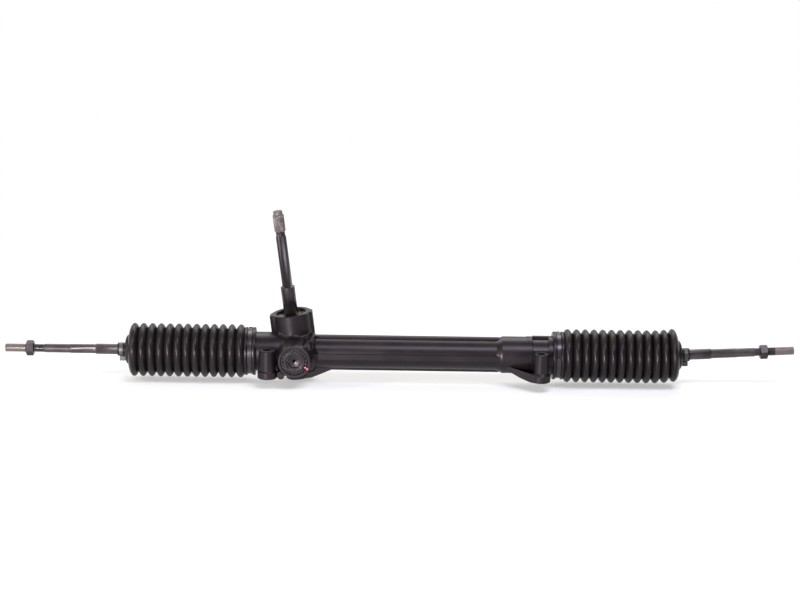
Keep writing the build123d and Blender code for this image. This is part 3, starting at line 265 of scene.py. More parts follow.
# The last bore, the bolt's, lies clear of FILLET_SPAN as it stands, but is cut like the others.
casting_fillets("near_casting_fillets",
                plugs=(bar(RACK_FOOT, ALONG, low=-60, high=100, radius=16),
                       bar(YOKE_FOOT, FORWARD, low=0, high=52.5, radius=19.6),
                       bar(PINION_FOOT, UP_THE_SHAFT, low=-36, high=54.3, radius=22.5)),
                bores=(bar(RACK_FOOT, ALONG, low=-60, high=100, radius=15),
                       bar(YOKE_FOOT, FORWARD, low=0, high=60, radius=19.8),
                       bar(PINION_FOOT, UP_THE_SHAFT, low=-34, high=60, radius=23),
                       bar(BOLT_FOOT, UP, low=-12, high=60, radius=6.5)))

# ---------------------------------------------------------------- rack bar
# Induction-hardened steel bar, ground along its round and broached with slanted teeth, thinly greased.
# The lock washers and the ball sockets screwed onto its ends are plain machined steel.


def clothe(material, *names):
    """Gives CAD nodes whose shape is already right their finish."""
    for name in names:
        nodes[name].data.materials.clear()
        nodes[name].data.materials.append(material)


ground_steel = finish_of("ground_steel", (0.50, 0.49, 0.47), (0.38, 0.36, 0.33), patch=0.012, rough=0.27,
                         spread=0.08, grain=0.0004, depth=0.00001, metal=1.0, stretch=(0.15, 1, 1))
turned_steel = finish_of("turned_steel", (0.34, 0.33, 0.31), (0.22, 0.21, 0.19), patch=0.006, rough=0.36,
                         spread=0.08, grain=0.0005, depth=0.00002, metal=1.0)
clothe(ground_steel, "rack_bar")
clothe(turned_steel, "left_lock_washer", "right_lock_washer", "left_ball_socket", "right_ball_socket")

# ---------------------------------------------------------------- rack bush
# Split acetal bush pressed into the far end of the tube, held by two rubber rings in its grooves.

acetal = finish_of("natural_acetal", (0.72, 0.68, 0.57), (0.64, 0.58, 0.46), patch=0.010, rough=0.42,
                   spread=0.06, grain=0.0006, depth=0.00002)
ring_rubber = finish_of("ring_rubber", (0.020, 0.020, 0.021), (0.035, 0.033, 0.032), patch=0.006, rough=0.55,
                        spread=0.08, grain=0.0003, depth=0.00002)
clothe(acetal, "rack_bush")
eased("rack_bush_rings", ring_rubber, width=0.1)

# ---------------------------------------------------------------- pinion shaft
# Steering shaft forged in one piece with its helical pinion and blacked. Its top end is left bare, with
# fine serrations for the column's clamp and a cross groove milled through them for the pinch bolt.

SPLINE_FOOT = 172.0 * MM
SPLINE_TOP = 196.5 * MM
SPLINE_RADIUS = 7.75 * MM
SERRATIONS = 36
SERRATION_DEPTH = 0.5 * MM
SPLINE_BEVEL = 0.8 * MM
SPLINE_BEVEL_SLOPE = 1.6
PINCH_RADIUS = 5.0 * MM
PINCH_DEPTH = 1.9 * MM
PINCH_PLACE = 7.8 * MM
PINCH_TURN = radians(45)


class Skin:
    """Geometry Nodes tree that wraps a grid of rings round the Z axis, with named inputs for its sizes."""

    def __init__(self, name, rings, around, material, **sizes):
        self.tree = bpy.data.node_groups.new(name, "GeometryNodeTree")
        self.values = {}
        self.tree.interface.new_socket("Geometry", in_out="OUTPUT", socket_type="NodeSocketGeometry")
        self.ask("Rings", rings, "NodeSocketInt")
        self.ask("Around", around, "NodeSocketInt")
        for size, value in sizes.items():
            self.ask(size, value, "NodeSocketFloat")
        self.ask("Finish", material, "NodeSocketMaterial")
        self.given = self.tree.nodes.new("NodeGroupInput").outputs
        grid = self.tree.nodes.new("GeometryNodeMeshGrid")
        self.tree.links.new(self.given["Rings"], grid.inputs["Vertices X"])
        self.tree.links.new(self.do("ADD", self.given["Around"], 1), grid.inputs["Vertices Y"])
        self.grid = grid.outputs["Mesh"]
        place = self.tree.nodes.new("ShaderNodeSeparateXYZ")
        self.tree.links.new(self.tree.nodes.new("GeometryNodeInputPosition").outputs[0], place.inputs[0])
        along = self.do("ADD", place.outputs["X"], 0.5)
        self.ring = self.do("ROUND", self.do("MULTIPLY", along, self.do("SUBTRACT", self.given["Rings"], 1)))
        self.turn = self.do("ADD", place.outputs["Y"], 0.5)

    def ask(self, name, value, kind):
        """Named input with its value, kept by the socket's identifier."""
        item = self.tree.interface.new_socket(name, in_out="INPUT", socket_type=kind)
        self.values[item.identifier] = value

    def do(self, operation, *values):
        """Math node fed by sockets and numbers."""
        node = self.tree.nodes.new("ShaderNodeMath")
        node.operation = operation
        for place, value in zip(node.inputs, values):
            if isinstance(value, bpy.types.NodeSocket):
                self.tree.links.new(value, place)
            else:
                place.default_value = value
        return node.outputs[0]

    def pick(self, index, *values):
        """One of the values, by a whole number."""
        node = self.tree.nodes.new("GeometryNodeIndexSwitch")
        node.data_type = "FLOAT"
        while len(node.index_switch_items) < len(values):
            node.index_switch_items.new()
        self.tree.links.new(index, node.inputs[0])
        for place, value in zip(node.inputs[1:], values):
            if isinstance(value, bpy.types.NodeSocket):
                self.tree.links.new(value, place)
            else:
                place.default_value = value
        return node.outputs[0]

    def wrap(self, angle, reach, radius):
        """Ends the tree: each grid point goes to its angle, reach and radius, doubles joined."""
        corner = self.tree.nodes.new("ShaderNodeCombineXYZ")
        self.tree.links.new(self.do("MULTIPLY", self.do("COSINE", angle), radius), corner.inputs["X"])
        self.tree.links.new(self.do("MULTIPLY", self.do("SINE", angle), radius), corner.inputs["Y"])
        self.tree.links.new(reach, corner.inputs["Z"])
        moved = self.tree.nodes.new("GeometryNodeSetPosition")
        merged = self.tree.nodes.new("GeometryNodeMergeByDistance")
        merged.inputs["Distance"].default_value = WELD
        whole = self.tree.nodes.new("GeometryNodeRealizeInstances")
        dressed = self.tree.nodes.new("GeometryNodeSetMaterial")
        end = self.tree.nodes.new("NodeGroupOutput")
        self.tree.links.new(self.grid, moved.inputs["Geometry"])
        self.tree.links.new(corner.outputs[0], moved.inputs["Position"])
        for first, second in ((moved, merged), (merged, whole), (whole, dressed), (dressed, end)):
            self.tree.links.new(first.outputs[0], second.inputs[0])
        self.tree.links.new(self.given["Finish"], dressed.inputs["Material"])

    def made(self, place):
        """Runs the tree and gives its closed mesh, put in its place."""
        holder = bpy.data.objects.new("seed", bpy.data.meshes.new("seed"))
        bpy.context.scene.collection.objects.link(holder)
        modifier = holder.modifiers.new("shape", "NODES")
        modifier.node_group = self.tree
        for identifier, value in self.values.items():
            modifier[identifier] = value
        graph = bpy.context.evaluated_depsgraph_get()
        mesh = bpy.data.meshes.new_from_object(holder.evaluated_get(graph))
        holder.modifiers.remove(modifier)
        bpy.data.objects.remove(holder)
        work = bmesh.new()
        work.from_mesh(mesh)
        bmesh.ops.remove_doubles(work, verts=work.verts, dist=WELD)
        bmesh.ops.holes_fill(work, edges=[e for e in work.edges if e.is_boundary], sides=0)
        bmesh.ops.recalc_face_normals(work, faces=work.faces)
        work.transform(place)
        return work


black_shaft = finish_of("shaft_black", (0.0045, 0.0038, 0.0040), (0.0095, 0.0070, 0.0070), patch=0.014,
                        rough=0.33, spread=0.05, grain=0.0007, depth=0.00002, specular=0.42,
                        stretch=(1, 1, 0.3), tint=BLACK_SHEEN)
bare_spline = finish_of("bare_spline_steel", (0.105, 0.088, 0.085), (0.058, 0.049, 0.048), patch=0.006,
                        rough=0.52, spread=0.04, grain=0.0006, depth=0.00001, metal=0.5)
shaft_line = upright(PINION_FOOT, UP_THE_SHAFT, side=(1, 0, 0))
shaft = kept_beyond(welded("pinion_shaft"), shaft_line @ Vector((0, 0, SPLINE_FOOT)), -UP_THE_SHAFT)
tip = kept_beyond(welded("pinion_shaft"), shaft_line @ Vector((0, 0, SPLINE_TOP)), UP_THE_SHAFT)

spline = Skin("serrations", 4, SERRATIONS * 4, bare_spline, Foot=SPLINE_FOOT, Top=SPLINE_TOP,
              Radius=SPLINE_RADIUS, Teeth=SERRATIONS, Depth=SERRATION_DEPTH, Bevel=SPLINE_BEVEL)
wave = spline.do("PINGPONG", spline.do("MULTIPLY", spline.turn, spline.given["Teeth"]), 0.5)
dip = spline.do("MULTIPLY", spline.given["Depth"], spline.do("MULTIPLY", wave, 2))
crest = spline.do("SUBTRACT", spline.given["Radius"], dip)
cut_in = spline.do("MULTIPLY", spline.pick(spline.ring, 1.0, 0.0, 0.0, 1.0), spline.given["Bevel"])
low_edge = spline.do("ADD", spline.given["Foot"], spline.given["Bevel"])
high_edge = spline.do("SUBTRACT", spline.given["Top"], spline.given["Bevel"])
height = spline.pick(spline.ring, spline.given["Foot"], low_edge, high_edge, spline.given["Top"])
limit = spline.do("SUBTRACT", spline.given["Radius"], spline.do("MULTIPLY", cut_in, SPLINE_BEVEL_SLOPE))
spline.wrap(spline.do("MULTIPLY", spline.turn, 2 * pi), height, spline.do("MINIMUM", crest, limit))

across = Matrix.Rotation(PINCH_TURN, 3, "Z")
groove_place = Vector((0, PINCH_DEPTH - SPLINE_RADIUS - PINCH_RADIUS, SPLINE_TOP - PINCH_PLACE))
groove_foot = shaft_line @ (across @ groove_place)
groove_line = shaft_line.to_3x3() @ across @ ALONG
shaft_piece = piece_from(shaft, "steering_shaft", black_shaft)
spline_piece = piece_from(spline.made(shaft_line), "shaft_serrations", bare_spline, sharp=50)
nose_piece = piece_from(tip, "shaft_nose", bare_spline)
cut_away(spline_piece, bar(groove_foot, groove_line, low=-20, high=20, radius=PINCH_RADIUS / MM))
for piece, slot in ((shaft_piece, "shaft_black"), (spline_piece, "bare_steel"), (nose_piece, "bare_steel")):
    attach(piece, "pinion")
    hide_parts("pinion_shaft")

# ---------------------------------------------------------------- pinion bearings
# Ball bearing of polished bearing steel with a nylon cage and rubber shields, held down in the tower by
# a blued circlip; the shaft's foot turns in an oil-soaked sintered bronze bush.

bearing_steel = finish_of("bearing_steel", (0.74, 0.73, 0.71), (0.60, 0.58, 0.56), patch=0.008, rough=0.34,
                          spread=0.06, grain=0.0003, depth=0.00001, metal=1.0)
black_nylon = finish_of("black_nylon", (0.030, 0.030, 0.031), (0.045, 0.044, 0.043), patch=0.006, rough=0.45,
                        spread=0.06, grain=0.0004, depth=0.00002)
blued_steel = finish_of("blued_spring_steel", (0.15, 0.15, 0.17), (0.09, 0.08, 0.08), patch=0.006, rough=0.34,
                        spread=0.08, grain=0.0005, depth=0.00002, metal=1.0)
sintered_bronze = finish_of("sintered_bronze", (0.52, 0.35, 0.18), (0.38, 0.24, 0.12), patch=0.004,
                            rough=0.42, spread=0.08, grain=0.0005, depth=0.00003, metal=1.0)
clothe(bearing_steel, "bearing_inner_ring", "bearing_outer_ring", "bearing_balls")
clothe(black_nylon, "bearing_cage")
eased("bearing_seals", ring_rubber, width=0.1)
clothe(turned_steel, "pinion_circlip")
clothe(blued_steel, "pinion_snap_ring")
clothe(sintered_bronze, "pinion_lower_bush")

# ---------------------------------------------------------------- yoke and its adjuster
# A sintered steel yoke presses on the rack's back through a coil spring. The screwed plug that loads the
# spring and the slotted ring that locks it were enamelled over with the housing.

plug_enamel = finish_of("plug_enamel", (0.0055, 0.005, 0.0055), (0.012, 0.010, 0.010), patch=0.012,
                        rough=0.30, spread=0.08, grain=0.0010, depth=0.00006, specular=0.28, tint=BLACK_SHEEN)
clothe(turned_steel, "yoke")
clothe(blued_steel, "yoke_spring")
eased("yoke_ring", ring_rubber, width=0.1)
eased("adjuster_plug", plug_enamel, width=0.45)
eased("lock_ring", plug_enamel, width=0.4)

# ---------------------------------------------------------------- witness mark
# A dab of pink marking lacquer across the lock ring and the housing shows that the yoke was set.
# It was brushed on, so it is thick in the middle and its thin rim lets the red undercoat through.

MARK_START = Vector((52.9, -30.0, 20.6)) * MM
MARK_END = Vector((58.2, -30.0, 17.0)) * MM
MARK_WIDTH = 1.5 * MM
MARK_THICKNESS = 0.35 * MM
MARK_BED = 0.2 * MM  # how far its underside sinks into what it is painted on
MARK_STEPS = 24
MARK_LANES = 12
MARK_FRONT = -17.2 * MM
GAP_DEPTH = -15.5 * MM  # the lacquer bridges the gap round the ring wherever it is deeper than this
GAP_FILL = -16.8 * MM

lacquer = finish_of("marking_lacquer", (0.42, 0.045, 0.070), (0.64, 0.27, 0.30), patch=0.0026, rough=0.42,
                    spread=0.06, grain=0.0004, depth=0.00004)
painted = BVHTree.FromPolygons([tuple(v.co) for v in nodes["housing"].data.vertices],
                               [tuple(f.vertices) for f in nodes["housing"].data.polygons])
on_ring = BVHTree.FromPolygons([tuple(v.co) for v in nodes["lock_ring"].data.vertices],
                               [tuple(f.vertices) for f in nodes["lock_ring"].data.polygons])
brushed = (MARK_END - MARK_START).normalized()
sideways = brushed.cross(Vector((0, 1, 0)))
mark = bmesh.new()
tops, feet = [], []
for i in range(MARK_STEPS + 1):
    for j in range(MARK_LANES + 1):
        u, v = i / MARK_STEPS, 2 * j / MARK_LANES - 1
        swell = max(1 - (2 * u - 1) ** 4, 0) ** 0.5 * (0.72 + 0.28 * sin(9 * u + 1.2))
        point = MARK_START.lerp(MARK_END, u) + sideways * (v * swell * MARK_WIDTH)
        hits = [tree.ray_cast(point, -FORWARD, 50 * MM)[0] for tree in (painted, on_ring)]
        front = max(min(hit.y for hit in hits if hit is not None), MARK_FRONT)
        if front > GAP_DEPTH:
            front = GAP_FILL
        thick = MARK_THICKNESS * max(1 - v * v, 0) ** 0.6 * min(1, 6 * u, 6 * (1 - u))
        tops.append(mark.verts.new((point.x, front - thick, point.z)))
        feet.append(mark.verts.new((point.x, front + MARK_BED, point.z)))
row = MARK_LANES + 1
last = row * MARK_STEPS
for layer in (tops, feet):
    for i in range(MARK_STEPS):
        for j in range(MARK_LANES):
            k = row * i + j
            mark.faces.new((layer[k], layer[k + 1], layer[k + 1 + row], layer[k + row]))
rim = ([j for j in range(row)] + [row * i + MARK_LANES for i in range(1, MARK_STEPS + 1)]
       + [last + j for j in range(MARK_LANES - 1, -1, -1)] + [row * i for i in range(MARK_STEPS - 1, 0, -1)])
for a, b in zip(rim, rim[1:] + rim[:1]):
    mark.faces.new((tops[a], tops[b], feet[b], feet[a]))
bmesh.ops.recalc_face_normals(mark, faces=mark.faces)
mark_piece = piece_from(mark, "witness_mark", lacquer, sharp=80)
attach(mark_piece, "housing")

# ---------------------------------------------------------------- ball seats
# Moulded acetal cups that wrap the tie rods' balls. They are snapped over the balls and pressed with
# them into the sockets at the rack's ends.

clothe(acetal, "left_ball_seat", "right_ball_seat")

# ---------------------------------------------------------------- tie rods
# Cold-formed steel rods with a ball at one end, ground flats for a spanner and a rolled M12 thread at the
# other. They were dipped black with their nuts on, so the thread beyond the nut stayed bare.

RODS = {
    "left": {"ball": Vector((-138, 36, 28)) * MM, "line": Vector((-1, 0, 0)), "tip": 233, "nut": 29.5,
             "bare": 29.5},
    "right": {"ball": Vector((522, 36, 28)) * MM, "line": Vector((0.99853667, 0, 0.054078813)), "tip": 223,
              "nut": 37.5, "bare": 27.0},
}
THREAD_LENGTH = 55.0 * MM
THREAD_PITCH = 1.5 * MM
THREAD_CORNERS = (0.0, 0.36, 0.54, 0.90, 1.0)  # root, both edges of the crest, root and next turn, in pitches
TURN_STEPS = 32
TIP_BULGE = 1.6 * MM
CREST_RADIUS = 6.0 * MM
ROOT_RADIUS = 5.1 * MM
NUTTED_RADIUS = 5.8 * MM
TIP_RADIUS = 4.6 * MM


def thread_skin(name, material, start, end, bare):
    """Tree for a rolled thread: one ridge that winds round from start to end, its tip rounded off."""
    rings = int((end - start) / THREAD_PITCH + 3) * TURN_STEPS + 1
    skin = Skin(name, rings, 4, material, Start=start, End=end, Bare=bare, Pitch=THREAD_PITCH,
                Crest=CREST_RADIUS, Nutted=NUTTED_RADIUS, Root=ROOT_RADIUS, Tip=TIP_RADIUS, Steps=TURN_STEPS)
    given, do = skin.given, skin.do
    corner = do("ROUND", do("MULTIPLY", skin.turn, 4))
    reach = do("ADD", do("DIVIDE", skin.ring, given["Steps"]), skin.pick(corner, *THREAD_CORNERS))
    reach = do("ADD", do("MULTIPLY", do("SUBTRACT", reach, 1), given["Pitch"]), given["Start"])
    reach = do("MAXIMUM", do("MINIMUM", reach, given["End"]), given["Start"])
    under_nut = do("LESS_THAN", reach, given["Bare"])
    worn = do("SUBTRACT", given["Crest"], given["Nutted"])
    tall = do("SUBTRACT", given["Crest"], do("MULTIPLY", under_nut, worn))
    radius = skin.pick(corner, given["Root"], tall, tall, given["Root"], given["Root"])
    left_over = do("SUBTRACT", given["End"], reach)
    tip = do("ADD", given["Tip"], do("POWER", do("MULTIPLY", left_over, TIP_BULGE), 0.5))
    foot = do("ADD", given["Tip"], do("SUBTRACT", reach, given["Start"]))
    radius = do("MINIMUM", radius, do("MINIMUM", tip, foot))
    angle = do("MULTIPLY", do("DIVIDE", skin.ring, given["Steps"]), 2 * pi)
    skin.wrap(angle, reach, radius)
    return skin


DIP_EDGE = 0.8 * MM
BARE_THREAD = ((0.145, 0.120, 0.113, 1), (0.235, 0.200, 0.190, 1))


def dipped_rod(name, where, line, bare_from):
    """Black dip along the rod, giving way to bare thread with a ragged edge where the nut kept it off."""
    material = finish_of(name, (0.034, 0.028, 0.031), (0.058, 0.047, 0.050), patch=0.010, rough=0.34,
                         spread=0.07, grain=0.0006, depth=0.00003, metal=0.5, specular=0.5)
    tree = material.node_tree
    shader = tree.nodes["Principled BSDF"]
    place = next(n for n in tree.nodes if n.type == "TEX_COORD")
    noise = tree.nodes.new("ShaderNodeTexNoise")
    noise.inputs["Scale"].default_value = 900
    tree.links.new(place.outputs["Object"], noise.inputs["Vector"])
    along = tree.nodes.new("ShaderNodeVectorMath")
    along.operation = "DOT_PRODUCT"
    along.inputs[1].default_value = line
    tree.links.new(place.outputs["Object"], along.inputs[0])
    edge = tree.nodes.new("ShaderNodeMapRange")
    start = where.dot(line) + bare_from
    edge.inputs["From Min"].default_value = start - DIP_EDGE
    edge.inputs["From Max"].default_value = start + DIP_EDGE
    tree.links.new(along.outputs["Value"], edge.inputs["Value"])
    ragged = tree.nodes.new("ShaderNodeMath")
    ragged.operation = "MULTIPLY"
    tree.links.new(edge.outputs["Result"], ragged.inputs[0])
    lift = tree.nodes.new("ShaderNodeMapRange")
    lift.inputs["To Min"].default_value = 0.8
    lift.inputs["To Max"].default_value = 1.1
    tree.links.new(noise.outputs["Fac"], lift.inputs["Value"])
    tree.links.new(lift.outputs["Result"], ragged.inputs[1])
    black = next(link.from_socket for link in tree.links if link.to_socket == shader.inputs["Base Color"])
    mix = tree.nodes.new("ShaderNodeMix")
    mix.data_type = "RGBA"
    tree.links.new(ragged.outputs[0], mix.inputs["Factor"])
    tree.links.new(black, mix.inputs["A"])
    bare = tree.nodes.new("ShaderNodeValToRGB")
    for stop, position, colour in zip(bare.color_ramp.elements, (0.3, 0.75), BARE_THREAD):
        stop.position = position
        stop.color = colour
    tree.links.new(noise.outputs["Fac"], bare.inputs["Fac"])
    tree.links.new(bare.outputs["Color"], mix.inputs["B"])
    tree.links.new(mix.outputs["Result"], shader.inputs["Base Color"])
    return material


for side, rod in RODS.items():
    line = upright(rod["ball"], rod["line"])
    thread_start = (rod["tip"] * MM) - THREAD_LENGTH
    dip = dipped_rod(side + "_rod_dip", rod["ball"], rod["line"], (rod["tip"] - rod["bare"]) * MM)
    plane = rod["ball"] + rod["line"] * (thread_start + 0.4 * MM)
    rod_piece = piece_from(kept_beyond(welded(side + "_tie_rod"), plane, -rod["line"]), side + "_rod", dip)
    skin = thread_skin(side + "_thread_rule", dip, thread_start, rod["tip"] * MM,
                       (rod["tip"] - rod["nut"]) * MM)
    thread_piece = piece_from(skin.made(line), side + "_rod_thread", dip, sharp=40)
    for piece in (rod_piece, thread_piece):
        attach(piece, side + "_tie_rod")
        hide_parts(side + "_tie_rod")

# ---------------------------------------------------------------- lock nuts
# M12 hexagon nuts, 19 mm across flats, hot-forged and zinc-phosphated dark, a little bluer than the rods.

phosphate = finish_of("phosphated_nut", (0.020, 0.016, 0.019), (0.037, 0.029, 0.032), patch=0.005, rough=0.36,
                      spread=0.08, grain=0.0007, depth=0.00005, metal=0.7)
for side in RODS:
    eased(side + "_lock_nut", phosphate, width=0.3)

# ---------------------------------------------------------------- boots
# Blow-moulded rubber bellows, thirteen rounded folds with sharp valleys between them. The wide cuff is
# clamped on the housing's neck, the narrow one on the tie rod. On the real gear the folds take up all the
# travel; here they stand fixed, the last ones bent to where the rod points.

MIDDLE = Vector((192, 36, 28)) * MM
BALL_REACH = 330.0 * MM
CUFF = (209.5 * MM, 225.5 * MM)
CUFF_RADIUS = 31.0 * MM
CUFF_RIB_RADIUS = 34.0 * MM
CUFF_RIB_WIDTH = 4.5 * MM
NECK_RADIUS = 27.8 * MM
SEAT_RADIUS = 26.35 * MM
FIRST_FOLD_END = 237.5 * MM
FOLD_END = 387.0 * MM
SLIDING_FOLDS, SWINGING_FOLDS, LIFTING_FOLDS = 9, 2, 1
FOLD_COUNT = SLIDING_FOLDS + SWINGING_FOLDS + LIFTING_FOLDS
FOLD_PITCH = (FOLD_END - FIRST_FOLD_END) / FOLD_COUNT
FOLD_ROOT = 30.0 * MM
FOLD_PEAK = 37.7 * MM
FOLD_FULLNESS = 0.72  # under 1 the folds are rounder than a sine's
FIRST_FOLD_RISE = 6.3 * MM
FIRST_FOLD_STEPS = 18
NECK_PLAY = 0.3 * MM
CUFF_ROUND = 0.8 * MM
CUFF_END_RADIUS = CUFF_RIB_RADIUS - 1.4 * MM
DOME_STEPS = 8
RUBBER = 2.0 * MM
SLIDE_FROM = 228.0 * MM
SWING_FROM = FIRST_FOLD_END + SLIDING_FOLDS * FOLD_PITCH
LIFT_FROM = FIRST_FOLD_END + (SLIDING_FOLDS + SWINGING_FOLDS) * FOLD_PITCH
LIFT_TO = BALL_REACH + 66.0 * MM
AROUND = 96
FOLD_STEPS = 14


def bellows_skin(name, material, start, folds):
    """Tree for a run of folds as a closed tube: up the outside, then back down the inside."""
    steps = folds * FOLD_STEPS + 1
    skin = Skin(name, 2 * steps + 1, AROUND, material, Start=start, Pitch=FOLD_PITCH, Root=FOLD_ROOT,
                Rise=FOLD_PEAK - FOLD_ROOT, Wall=RUBBER, Steps=steps, FoldSteps=FOLD_STEPS)
    given, do = skin.given, skin.do
    back = do("SUBTRACT", do("SUBTRACT", do("MULTIPLY", given["Steps"], 2), 1), skin.ring)
    step = do("MAXIMUM", do("MINIMUM", skin.ring, back), 0)
    inner = do("MULTIPLY", do("GREATER_THAN", skin.ring, do("SUBTRACT", given["Steps"], 0.5)),
               do("GREATER_THAN", back, -0.5))
    phase = do("DIVIDE", step, given["FoldSteps"])
    swell = do("POWER", do("ABSOLUTE", do("SINE", do("MULTIPLY", phase, pi))), FOLD_FULLNESS)
    radius = do("ADD", given["Root"], do("MULTIPLY", given["Rise"], swell))
    reach = do("ADD", given["Start"], do("MULTIPLY", phase, given["Pitch"]))
    wall = do("MULTIPLY", inner, given["Wall"])
    skin.wrap(do("MULTIPLY", skin.turn, 2 * pi), reach, do("SUBTRACT", radius, wall))
    return skin


def spun(profile, place):
    """Closed profile of (reach, radius) turned round a line."""
    work = bmesh.new()
    rings = [[work.verts.new((radius * cos(2 * pi * i / AROUND), radius * sin(2 * pi * i / AROUND), reach))
              for i in range(AROUND)] for reach, radius in profile]
    for a, b in zip(rings, rings[1:] + rings[:1]):
        for i in range(AROUND):
            j = (i + 1) % AROUND
            work.faces.new((a[i], a[j], b[j], b[i]))
    bmesh.ops.recalc_face_normals(work, faces=work.faces)
    work.transform(place)
    return work


def cuff_profile():
    """Wide cuff with a rounded rib at each side of its band, and the first, broader fold."""
    low, high = CUFF
    inner = low + CUFF_RIB_WIDTH
    outer = high - CUFF_RIB_WIDTH
    top, soft, slight = CUFF_RIB_RADIUS, CUFF_ROUND, 0.3 * CUFF_ROUND
    outside = [(low, SEAT_RADIUS), (low, top - soft), (low + slight, top - slight), (low + soft, top),
               (inner - soft, top), (inner - slight, top - slight), (inner, top - soft), (inner, CUFF_RADIUS),
               (outer, CUFF_RADIUS), (outer, top - soft), (outer + slight, top - slight), (outer + soft, top),
               (high - 1.6 * MM, top), (high - 0.6 * MM, top - 0.5 * MM), (high, CUFF_END_RADIUS)]
    fold = []
    for i in range(1, FIRST_FOLD_STEPS + 1):
        t = i / FIRST_FOLD_STEPS
        base = CUFF_END_RADIUS + (FOLD_ROOT - CUFF_END_RADIUS) * t
        rise = FIRST_FOLD_RISE * sin(pi * t) ** FOLD_FULLNESS
        fold.append((high + (FIRST_FOLD_END - high) * t, base + rise))
    bore = NECK_RADIUS + NECK_PLAY
    inside = [(reach, max(radius - RUBBER, bore)) for reach, radius in reversed(fold)]
    return outside + fold + inside + [(high - 0.1 * MM, bore), (high - 0.1 * MM, SEAT_RADIUS)]


def nose_profile():
    """End wall, small dome and narrow cuff with its strap groove, by reach from the ball's centre."""
    wall = FOLD_END - BALL_REACH
    outside = [(wall - 1.2 * MM, FOLD_ROOT - 0.2 * MM), (wall, FOLD_ROOT),
               (wall + 0.5 * MM, FOLD_ROOT - 1.6 * MM), (wall + 0.5 * MM, 22.0 * MM),
               (wall + 0.9 * MM, 21.2 * MM)]
    for i in range(1, DOME_STEPS + 1):
        turn = pi / 2 * i / DOME_STEPS
        outside.append((wall + (0.9 + 5.6 * sin(turn)) * MM, (13.4 + 7.8 * cos(turn)) * MM))
    outside += [(wall + 6.7 * MM, 10.6 * MM), (wall + 7.2 * MM, 9.5 * MM)]
    cuff = [(66.6, 9.4), (67.0, 9.1), (67.0, 8.3), (72.0, 8.3), (72.0, 9.1), (72.4, 9.4), (74.1, 9.4),
            (74.5, 9.0)]
    inside = [(74.5, 7.5), (62.6, 7.5), (62.2, 9.0), (60.8, 11.6), (59.0, 18.6)]
    outside += [(reach * MM, radius * MM) for reach, radius in cuff + inside]
    return outside + [(wall - 1.2 * MM, 19.0 * MM), (wall - 1.6 * MM, FOLD_ROOT - RUBBER)]


def leaned(work, side):
    """Bends the boot's last folds about the ball's centre, to where the rod points."""
    rod = RODS[side]
    full = rod["line"].angle(Vector((rod["line"].x, 0, 0)))
    for vertex in work.verts:
        reach = abs(vertex.co.x - MIDDLE.x)
        t = min(max((reach - SWING_FROM) / (FOLD_END - SWING_FROM), 0), 1)
        turn = Matrix.Rotation(full * t * t * (3 - 2 * t), 3, FORWARD)
        vertex.co = rod["ball"] + turn @ (vertex.co - rod["ball"])
    return work


rubber = finish_of("boot_rubber", (0.0045, 0.0040, 0.0045), (0.0105, 0.0080, 0.0080), patch=0.009, rough=0.32,
                   spread=0.06, grain=0.0007, depth=0.00003, specular=0.18, stretch=(1, 0.35, 0.35),
                   tint=BLACK_SHEEN)
for side, out in (("left", -ALONG), ("right", ALONG)):
    line = upright(MIDDLE, out)
    ball_line = upright(RODS[side]["ball"], RODS[side]["line"])
    rod_body = side + "_tie_rod"
    seat_body = side + "_ball_seat"
    sliding = bellows_skin(side + "_bellows_a", rubber, FIRST_FOLD_END, SLIDING_FOLDS).made(line)
    swinging = bellows_skin(side + "_bellows_b", rubber, SWING_FROM, SWINGING_FOLDS).made(line)
    lifting = bellows_skin(side + "_bellows_c", rubber, LIFT_FROM, LIFTING_FOLDS).made(line)
    runs = (
        ("cuff", spun(cuff_profile(), line), "housing", "rack", SLIDE_FROM, SWING_FROM),
        ("folds_sliding", sliding, "housing", "rack", SLIDE_FROM, SWING_FROM),
        ("folds_swinging", leaned(swinging, side), "rack", seat_body, SWING_FROM, LIFT_FROM),
        ("fold_lifting", leaned(lifting, side), seat_body, rod_body, LIFT_FROM, LIFT_TO),
        ("nose", spun(nose_profile(), ball_line), seat_body, rod_body, LIFT_FROM, LIFT_TO),
    )
    for part, work, first, second, start, end in runs:
        piece = piece_from(work, f"{side}_boot_{part}", rubber, sharp=48)
        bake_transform(piece)
        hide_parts(side + "_boot")

# ---------------------------------------------------------------- boot clamps
# A pressed steel band with a crimped ear holds each wide cuff, and a nylon strap with a ratchet head the
# narrow one. Both are black.

band_steel = finish_of("band_steel", (0.012, 0.011, 0.0125), (0.022, 0.020, 0.0215), patch=0.006, rough=0.26,
                       spread=0.06, grain=0.0005, depth=0.00002, metal=0.3, tint=BLACK_SHEEN)
for side in RODS:
    eased(side + "_boot_band", band_steel, width=0.25)
    eased(side + "_boot_strap", black_nylon, width=0.3)

# ---------------------------------------------------------------- the scene
# Pale floor that keeps the object's shadow and fades to white away from it, a plain room, four soft lamps
# and the camera, which looks slightly down on the rack from the front.

STAGE_MIDDLE = (0.19, 0.03, cad_box[0].z)
FLOOR_REACH = 14.0
FLOOR_GAP = 0.5 * MM
SHADOW_REACH = 0.30
WHITE_FROM = 1.1
LEAST_WHITE = 0.35
ROOM_LEVEL = 0.25
FAR_WALL = (-0.15, 0.45)  # slopes between which the room's far side, where gloss mirrors it, turns white

